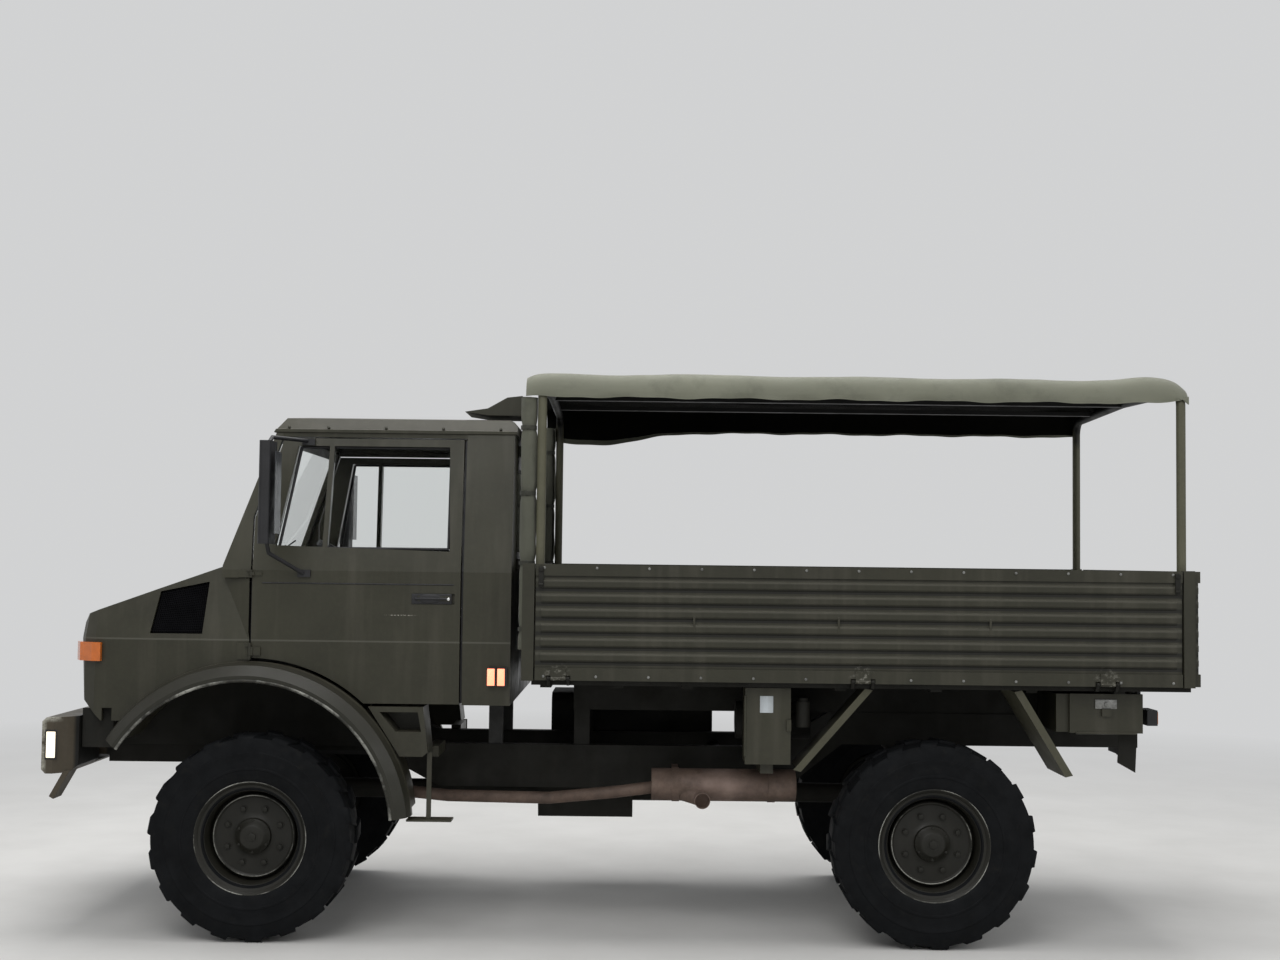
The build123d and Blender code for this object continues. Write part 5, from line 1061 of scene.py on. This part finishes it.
LENS_PROFILE = (
    (0.0, 0.0), (0.003, 0.0), (0.001, 0.030), (-0.006, 0.060), (-0.016, 0.082), (-0.018, 0.084),
    (-0.020, 0.080), (-0.010, 0.056), (-0.004, 0.028), (-0.002, 0.0),
)
RING_PROFILE = (
    (-0.022, 0.083), (-0.010, 0.082), (-0.006, 0.086), (-0.008, 0.094), (-0.014, 0.0965), (-0.024, 0.096),
    (-0.022, 0.083),
)


class TRUCK_OT_lamps(bpy.types.Operator):
    """Gives the lamps their lenses, rings and frames"""

    bl_idname = "truck.lamps"
    bl_label = "Lamps"

    def execute(self, context):
        for side, tag in SIDES:
            self.headlamp(side, tag)
            for name, low, high, bevel, finish, slot in self.lenses():
                lens = block(name.format(tag), low, high, *bevel)
                finish_piece(lens, finish, side=side)
        return {"FINISHED"}

    def headlamp(self, side, tag):
        """Ribbed lens and trim ring over the lamp's place in the bumper."""
        turn = Matrix.Translation((3.132, side * 0.790, 1.045)) @ Matrix.Rotation(-math.pi / 2, 4, "Z")
        for name, profile, finish, slot in (
            ("headlamp_lens", LENS_PROFILE, "clear_lens", "lamp_glass"),
            ("headlamp_ring", RING_PROFILE, "plastic", "black_plastic"),
        ):
            piece = turned(f"{name}_{tag}", profile, 64)
            piece.data.transform(turn)
            finish_piece(smooth(piece), finish)

    def lenses(self):
        """Name, corners, bevel, finish and slot of the small lamps' lenses and frames, for the left side."""
        for index, x in enumerate((0.668, 0.723)):
            low, high = (x - 0.020, 1.0145, 1.388), (x + 0.020, 1.0185, 1.480)
            yield f"marker_lens_{{}}_{index}", low, high, (0.0018, 2), "marker", "red_plastic"
        low, high = (3.058, 1.0745, 0.968), (3.122, 1.0785, 1.128)
        yield "corner_frame_{}", low, high, (0.0015, 1), "plastic", "black_plastic"
        low, high = (3.066, 1.0775, 0.978), (3.114, 1.0835, 1.118)
        yield "corner_lens_{}", low, high, (0.0025, 3), "lit_lens", "lamp_glass"
        for index, (finish, inner, outer) in enumerate(
            (("clear_lens", 0.822, 0.866), ("red", 0.870, 0.930), ("amber", 0.934, 0.978))
        ):
            low, high = (-2.9375, inner, 1.216), (-2.9315, outer, 1.284)
            yield f"rear_lens_{{}}_{index}", low, high, (0.0022, 2), finish, "red_plastic"


# Heights of the bolt rows on the top and bottom rails of the drop sides and the tailgate
RAIL_HEIGHTS = (2.036, 1.452)


def bolt_row(places, way, bolt):
    """Round heads at places, standing out in a direction."""
    return [rod("bolt", place, Vector(place) + Vector(way), bolt * 0.75, 12, 0.0012) for place in places]


class TRUCK_OT_bed_trim(bpy.types.Operator):
    """Bolts, latches, joint covers and fittings of the load bed and its boxes"""

    bl_idname = "truck.bed_trim"
    bl_label = "Bed trim"

    def execute(self, context):
        bolt = context.scene.truck_sizes.bolt_radius
        for side, tag in SIDES:
            body = f"drop_side_{tag}"
            spots = [(0.43 - step * (0.43 + 2.965) / 12, side * 1.1495, z) for z in RAIL_HEIGHTS for step in range(13)]
            heads = bolt_row(spots, (0, side * 0.0045, 0), bolt)
            finish_piece(joined(f"rail_bolts_{tag}", heads), "steel", body)
            self.latches(side, body, tag)
            self.rib_joints(side, body, tag)
        spots = [(-3.133, -1.02 + step * 0.255, z) for z in RAIL_HEIGHTS for step in range(9)]
        finish_piece(joined("gate_bolts", bolt_row(spots, (-0.0055, 0, 0), bolt)), "bed", "tailgate")
        self.box_details()
        self.tail_plate()
        return {"FINISHED"}

    def latches(self, side, body, tag):
        """Over-centre latches at both top corners."""
        for index, x in enumerate((0.448, -2.990)):
            lever = block("lever", (x - 0.014, 1.150, 1.930), (x + 0.014, 1.160, 2.040), 0.003)
            eye = rod("eye", (x, 1.150, 2.028), (x, 1.166, 2.028), 0.015, 20, 0.003)
            stub = rod("stub", (x - 0.012, 1.156, 1.945), (x + 0.012, 1.156, 1.945), 0.009, 16, 0.002)
            latch = joined(f"side_latch_{tag}_{index}", [lever, eye, stub])
            finish_piece(latch, "chassis", body, side)

    def rib_joints(self, side, body, tag):
        """Narrow upright joint covers on the middle ribs."""
        covers = [
            block("cover", (x - 0.006, 1.146, 1.70), (x + 0.006, 1.1515, 1.785), 0.0015, 1)
            for x in (-0.38, -1.16, -1.98)
        ]
        finish_piece(joined(f"rib_joints_{tag}", covers), "bed", body, side)

    def tail_plate(self):
        """Bracket plate under the toolbox's rear end."""
        corners = [(x, 0.93, z) for x, z in ((-2.835, 1.162), (-2.735, 1.162), (-2.725, 1.0), (-2.825, 0.945))]
        finish_piece(plate("tail_plate", corners, 0.004), "chassis")

    def box_details(self):
        """Blank pale label on the switch box, hasp and staple on the tool box."""
        label = block("box_label", (-0.818, 1.0495, 1.261), (-0.746, 1.0515, 1.352), 0.0008, 1)
        finish_piece(label, "label", "side_box_door")
        hasp = block("tool_hasp", (-2.70, 1.0095, 1.300), (-2.58, 1.0175, 1.352), 0.003)
        staple = rod("staple", (-2.64, 1.012, 1.326), (-2.64, 1.024, 1.326), 0.011, 20, 0.003)
        finish_piece(joined("tool_latch", [hasp, staple]), "steel", "toolbox_door")


class TRUCK_OT_seats(bpy.types.Operator):
    """Stuffs and sews the two seats' cushions and backs"""

    bl_idname = "truck.seats"
    bl_label = "Seat pads"

    def execute(self, context):
        pads = []
        for side, tag in SIDES:
            middle = side * 0.44
            for part, low, high, half, thin in (
                ("cushion", (0.775, 1.645), (1.245, 1.755), 0.26, 2),
                ("back", (0.690, 1.70), (0.790, 2.080), 0.25, 0),
            ):
                low, high = (low[0], middle - half, low[1]), (high[0], middle + half, high[1])
                pads.append(self.pad(f"seat_{part}_{tag}", low, high, thin))
        for pad in pads:
            finish_piece(pad, "seat")
        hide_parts("seat_pads")
        return {"FINISHED"}

    def pad(self, name, low, high, thin):
        """Crowned pad whose sides pull in between its corners, with sewn channels."""
        low, high = Vector(low), Vector(high)
        centre, half = (low + high) / 2, (high - low) / 2
        pad = start(bpy.ops.mesh.primitive_cube_add, name, size=2, location=(0, 0, 0))
        modify(pad, "SUBSURF", subdivision_type="SIMPLE", levels=5, render_levels=5)
        long_axis, cross_axis = (0, 1) if thin == 2 else (2, 1)
        for vertex in pad.data.vertices:
            u, v, w = vertex.co[long_axis], vertex.co[cross_axis], vertex.co[thin]
            crown = 0.62 + 0.38 * (1 - abs(u) ** 5) * (1 - abs(v) ** 5)
            channel = 1 - 0.13 * sum(dip(v, line, 0.035) for line in (-0.5, 0.0, 0.5)) * (1 - u ** 8)
            wrinkle = 1 + 0.03 * noise.noise(Vector((u * 3, v * 3, w + centre.y * 9)))
            place = Vector((0.0, 0.0, 0.0))
            place[long_axis] = u * half[long_axis] * (1 - 0.045 * (1 - v * v) * abs(u) ** 6)
            place[cross_axis] = v * half[cross_axis] * (1 - 0.045 * (1 - u * u) * abs(v) ** 6)
            place[thin] = w * half[thin] * crown * channel * wrinkle
            vertex.co = centre + place
        pad.data.update()
        modify(pad, "BEVEL", width=0.004, segments=2, limit_method="ANGLE", angle_limit=math.radians(50))
        return smooth(pad, 70)


# Finishes of the CAD nodes that stay, stage, camera and light

NODE_FINISH = {
    "body": "door_left door_right cab_back cab_roof cab_front_frame hood grille_panel fender_left fender_right "
            "cab_steps side_box side_box_door toolbox toolbox_door air_intake",
    "bed": "bed_posts headboard",
    "ribbed": "drop_side_left drop_side_right tailgate",
    "bumper": "front_bumper",
    "guard": "rear_mudguards",
    "chassis": "frame_rails front_axle rear_axle knuckle_left knuckle_right tie_rod driveline coil_springs dampers "
               "tow_coupling fuel_tank air_tanks bed_floor",
    "hoop": "canopy_frame",
    "engine": "engine",
    "rust": "exhaust",
    "glass": "cab_glass door_left_glass door_right_glass",
    "clear_lens": "headlamps",
    "amber": "front_indicators",
    "plastic": "mirror_left mirror_right dashboard steering_wheel rear_lamps",
    "floor_mat": "cab_floor",
}

BACKDROP = (0.64, 0.645, 0.65)
SKY, SKY_STRENGTH = (0.82, 0.84, 0.86), 0.55
# The floor fades into the backdrop between these distances from the truck's middle
FLOOR_FADE = (4.5, 13.0)
CAMERA_PLACE = (-0.049, 10.070, 2.076)
# Yaw, pitch and roll in degrees
CAMERA_TURN = (-0.19, 2.82, 0.68)
CAMERA_LENS = 46.4


class TRUCK_OT_finishes(bpy.types.Operator):
    """Mixes the finishes and lays them on the carried-over nodes"""

    bl_idname = "truck.finishes"
    bl_label = "Finishes"

    def execute(self, context):
        mix_finishes(context.scene.truck_colours)
        for finish, names in NODE_FINISH.items():
            for name in names.split():
                slots = frame["nodes"][name].data.materials
                if len(slots) == 0:
                    slots.append(FINISH[finish])
                for index in range(len(slots)):
                    slots[index] = FINISH[finish]
        return {"FINISHED"}


class TRUCK_OT_stage(bpy.types.Operator):
    """Lays a pale floor and backdrop, hangs soft lights and sets the camera where the photograph was taken"""

    bl_idname = "truck.stage"
    bl_label = "Stage and camera"

    def execute(self, context):
        scene = context.scene
        self.floor()
        self.light("key", (2.0, 8.0, 8.5), (0, 0, 1.4), 6.0, 430)
        self.light("fill", (-8.0, 6.0, 5.0), (0, 0, 1.4), 6.0, 150)
        self.light("top", (0.0, -1.0, 9.5), (0, 0, 1.5), 8.0, 850)
        scene.world = bpy.data.worlds.new("studio")
        world = Tree(scene.world)
        sky = world.nodes["Background"]
        world.feed(sky.inputs["Color"], SKY)
        world.feed(sky.inputs["Strength"], SKY_STRENGTH)
        seen = world.add("Background", {"Color": BACKDROP, "Strength": 1.0})
        world.blend(world.backdrop_rays(), sky, seen, "World Output")
        scene.view_settings.view_transform = "Standard"
        self.camera(scene)
        return {"FINISHED"}

    def floor(self):
        """Large pale disc that the truck stands on."""
        deselect()
        bpy.ops.mesh.primitive_circle_add(vertices=96, radius=60, fill_type="NGON", location=(0, 0, -0.001))
        floor = bpy.context.object
        floor.name = "studio_floor"
        recipe = Recipe("studio_floor")
        recipe.clouds((1.4, 4), 0.3, 0.7, (0.58, 0.57, 0.55), (0.64, 0.63, 0.61))
        floor.data.materials.append(recipe.done(0.7))
        far = recipe.add("VectorMath", {0: recipe.place}, operation="LENGTH").outputs["Value"]
        share = recipe.multiply(recipe.ramp(far, *FLOOR_FADE), recipe.backdrop_rays())
        recipe.blend(share, recipe.shader, recipe.add("Emission", {"Color": BACKDROP}), "Material Output")

    def light(self, name, place, aim, size, power):
        """Soft square lamp that faces a point."""
        lamp = bpy.data.lights.new(name, "AREA")
        lamp.size, lamp.energy = size, power
        holder = bpy.data.objects.new(name, lamp)
        holder.location = place
        holder.rotation_euler = (Vector(aim) - Vector(place)).to_track_quat("-Z", "Y").to_euler()
        bpy.context.scene.collection.objects.link(holder)

    def camera(self, scene):
        """Camera of the photograph: beside the truck, a little above the belt, looking slightly up."""
        view = bpy.data.cameras.new("photo_view")
        view.sensor_width, view.lens = 36, CAMERA_LENS
        view.clip_end = 200
        holder = bpy.data.objects.new("photo_view", view)
        holder.location = CAMERA_PLACE
        yaw, pitch, roll = (math.radians(angle) for angle in CAMERA_TURN)
        turn = Matrix.Rotation(math.pi + yaw, 4, "Z") @ Matrix.Rotation(math.pi / 2 + pitch, 4, "X")
        holder.rotation_euler = (turn @ Matrix.Rotation(roll, 4, "Z")).to_euler()
        scene.collection.objects.link(holder)
        scene.camera = holder


PIECES = (
    TRUCK_OT_finishes,
    TRUCK_OT_canopy,
    TRUCK_OT_curtains,
    TRUCK_OT_wheels,
    TRUCK_OT_cab_trim,
    TRUCK_OT_lamps,
    TRUCK_OT_bed_trim,
    TRUCK_OT_seats,
    TRUCK_OT_stage,
)


class TRUCK_PT_sidebar(bpy.types.Panel):
    """Lists the truck's sizes, colours and pieces"""

    bl_label = "Cargo truck"
    bl_idname = "TRUCK_PT_sidebar"
    bl_space_type = "VIEW_3D"
    bl_region_type = "UI"
    bl_category = "Truck"

    def draw(self, context):
        for group in (context.scene.truck_sizes, context.scene.truck_colours):
            for name in group.__annotations__:
                self.layout.prop(group, name)
        for piece in PIECES:
            self.layout.operator(piece.bl_idname)


CLASSES = (TruckSizes, TruckColours, *PIECES, TRUCK_PT_sidebar)


def register():
    for kind in CLASSES:
        bpy.utils.register_class(kind)
    bpy.types.Scene.truck_sizes = bpy.props.PointerProperty(type=TruckSizes)
    bpy.types.Scene.truck_colours = bpy.props.PointerProperty(type=TruckColours)


def unregister():
    del bpy.types.Scene.truck_colours
    del bpy.types.Scene.truck_sizes
    for kind in reversed(CLASSES):
        bpy.utils.unregister_class(kind)


def main():
    """Builds every piece in order."""
    register()
    for piece in PIECES:
        group, name = piece.bl_idname.split(".")
        getattr(getattr(bpy.ops, group), name)()


if __name__ == "__main__":
    main()
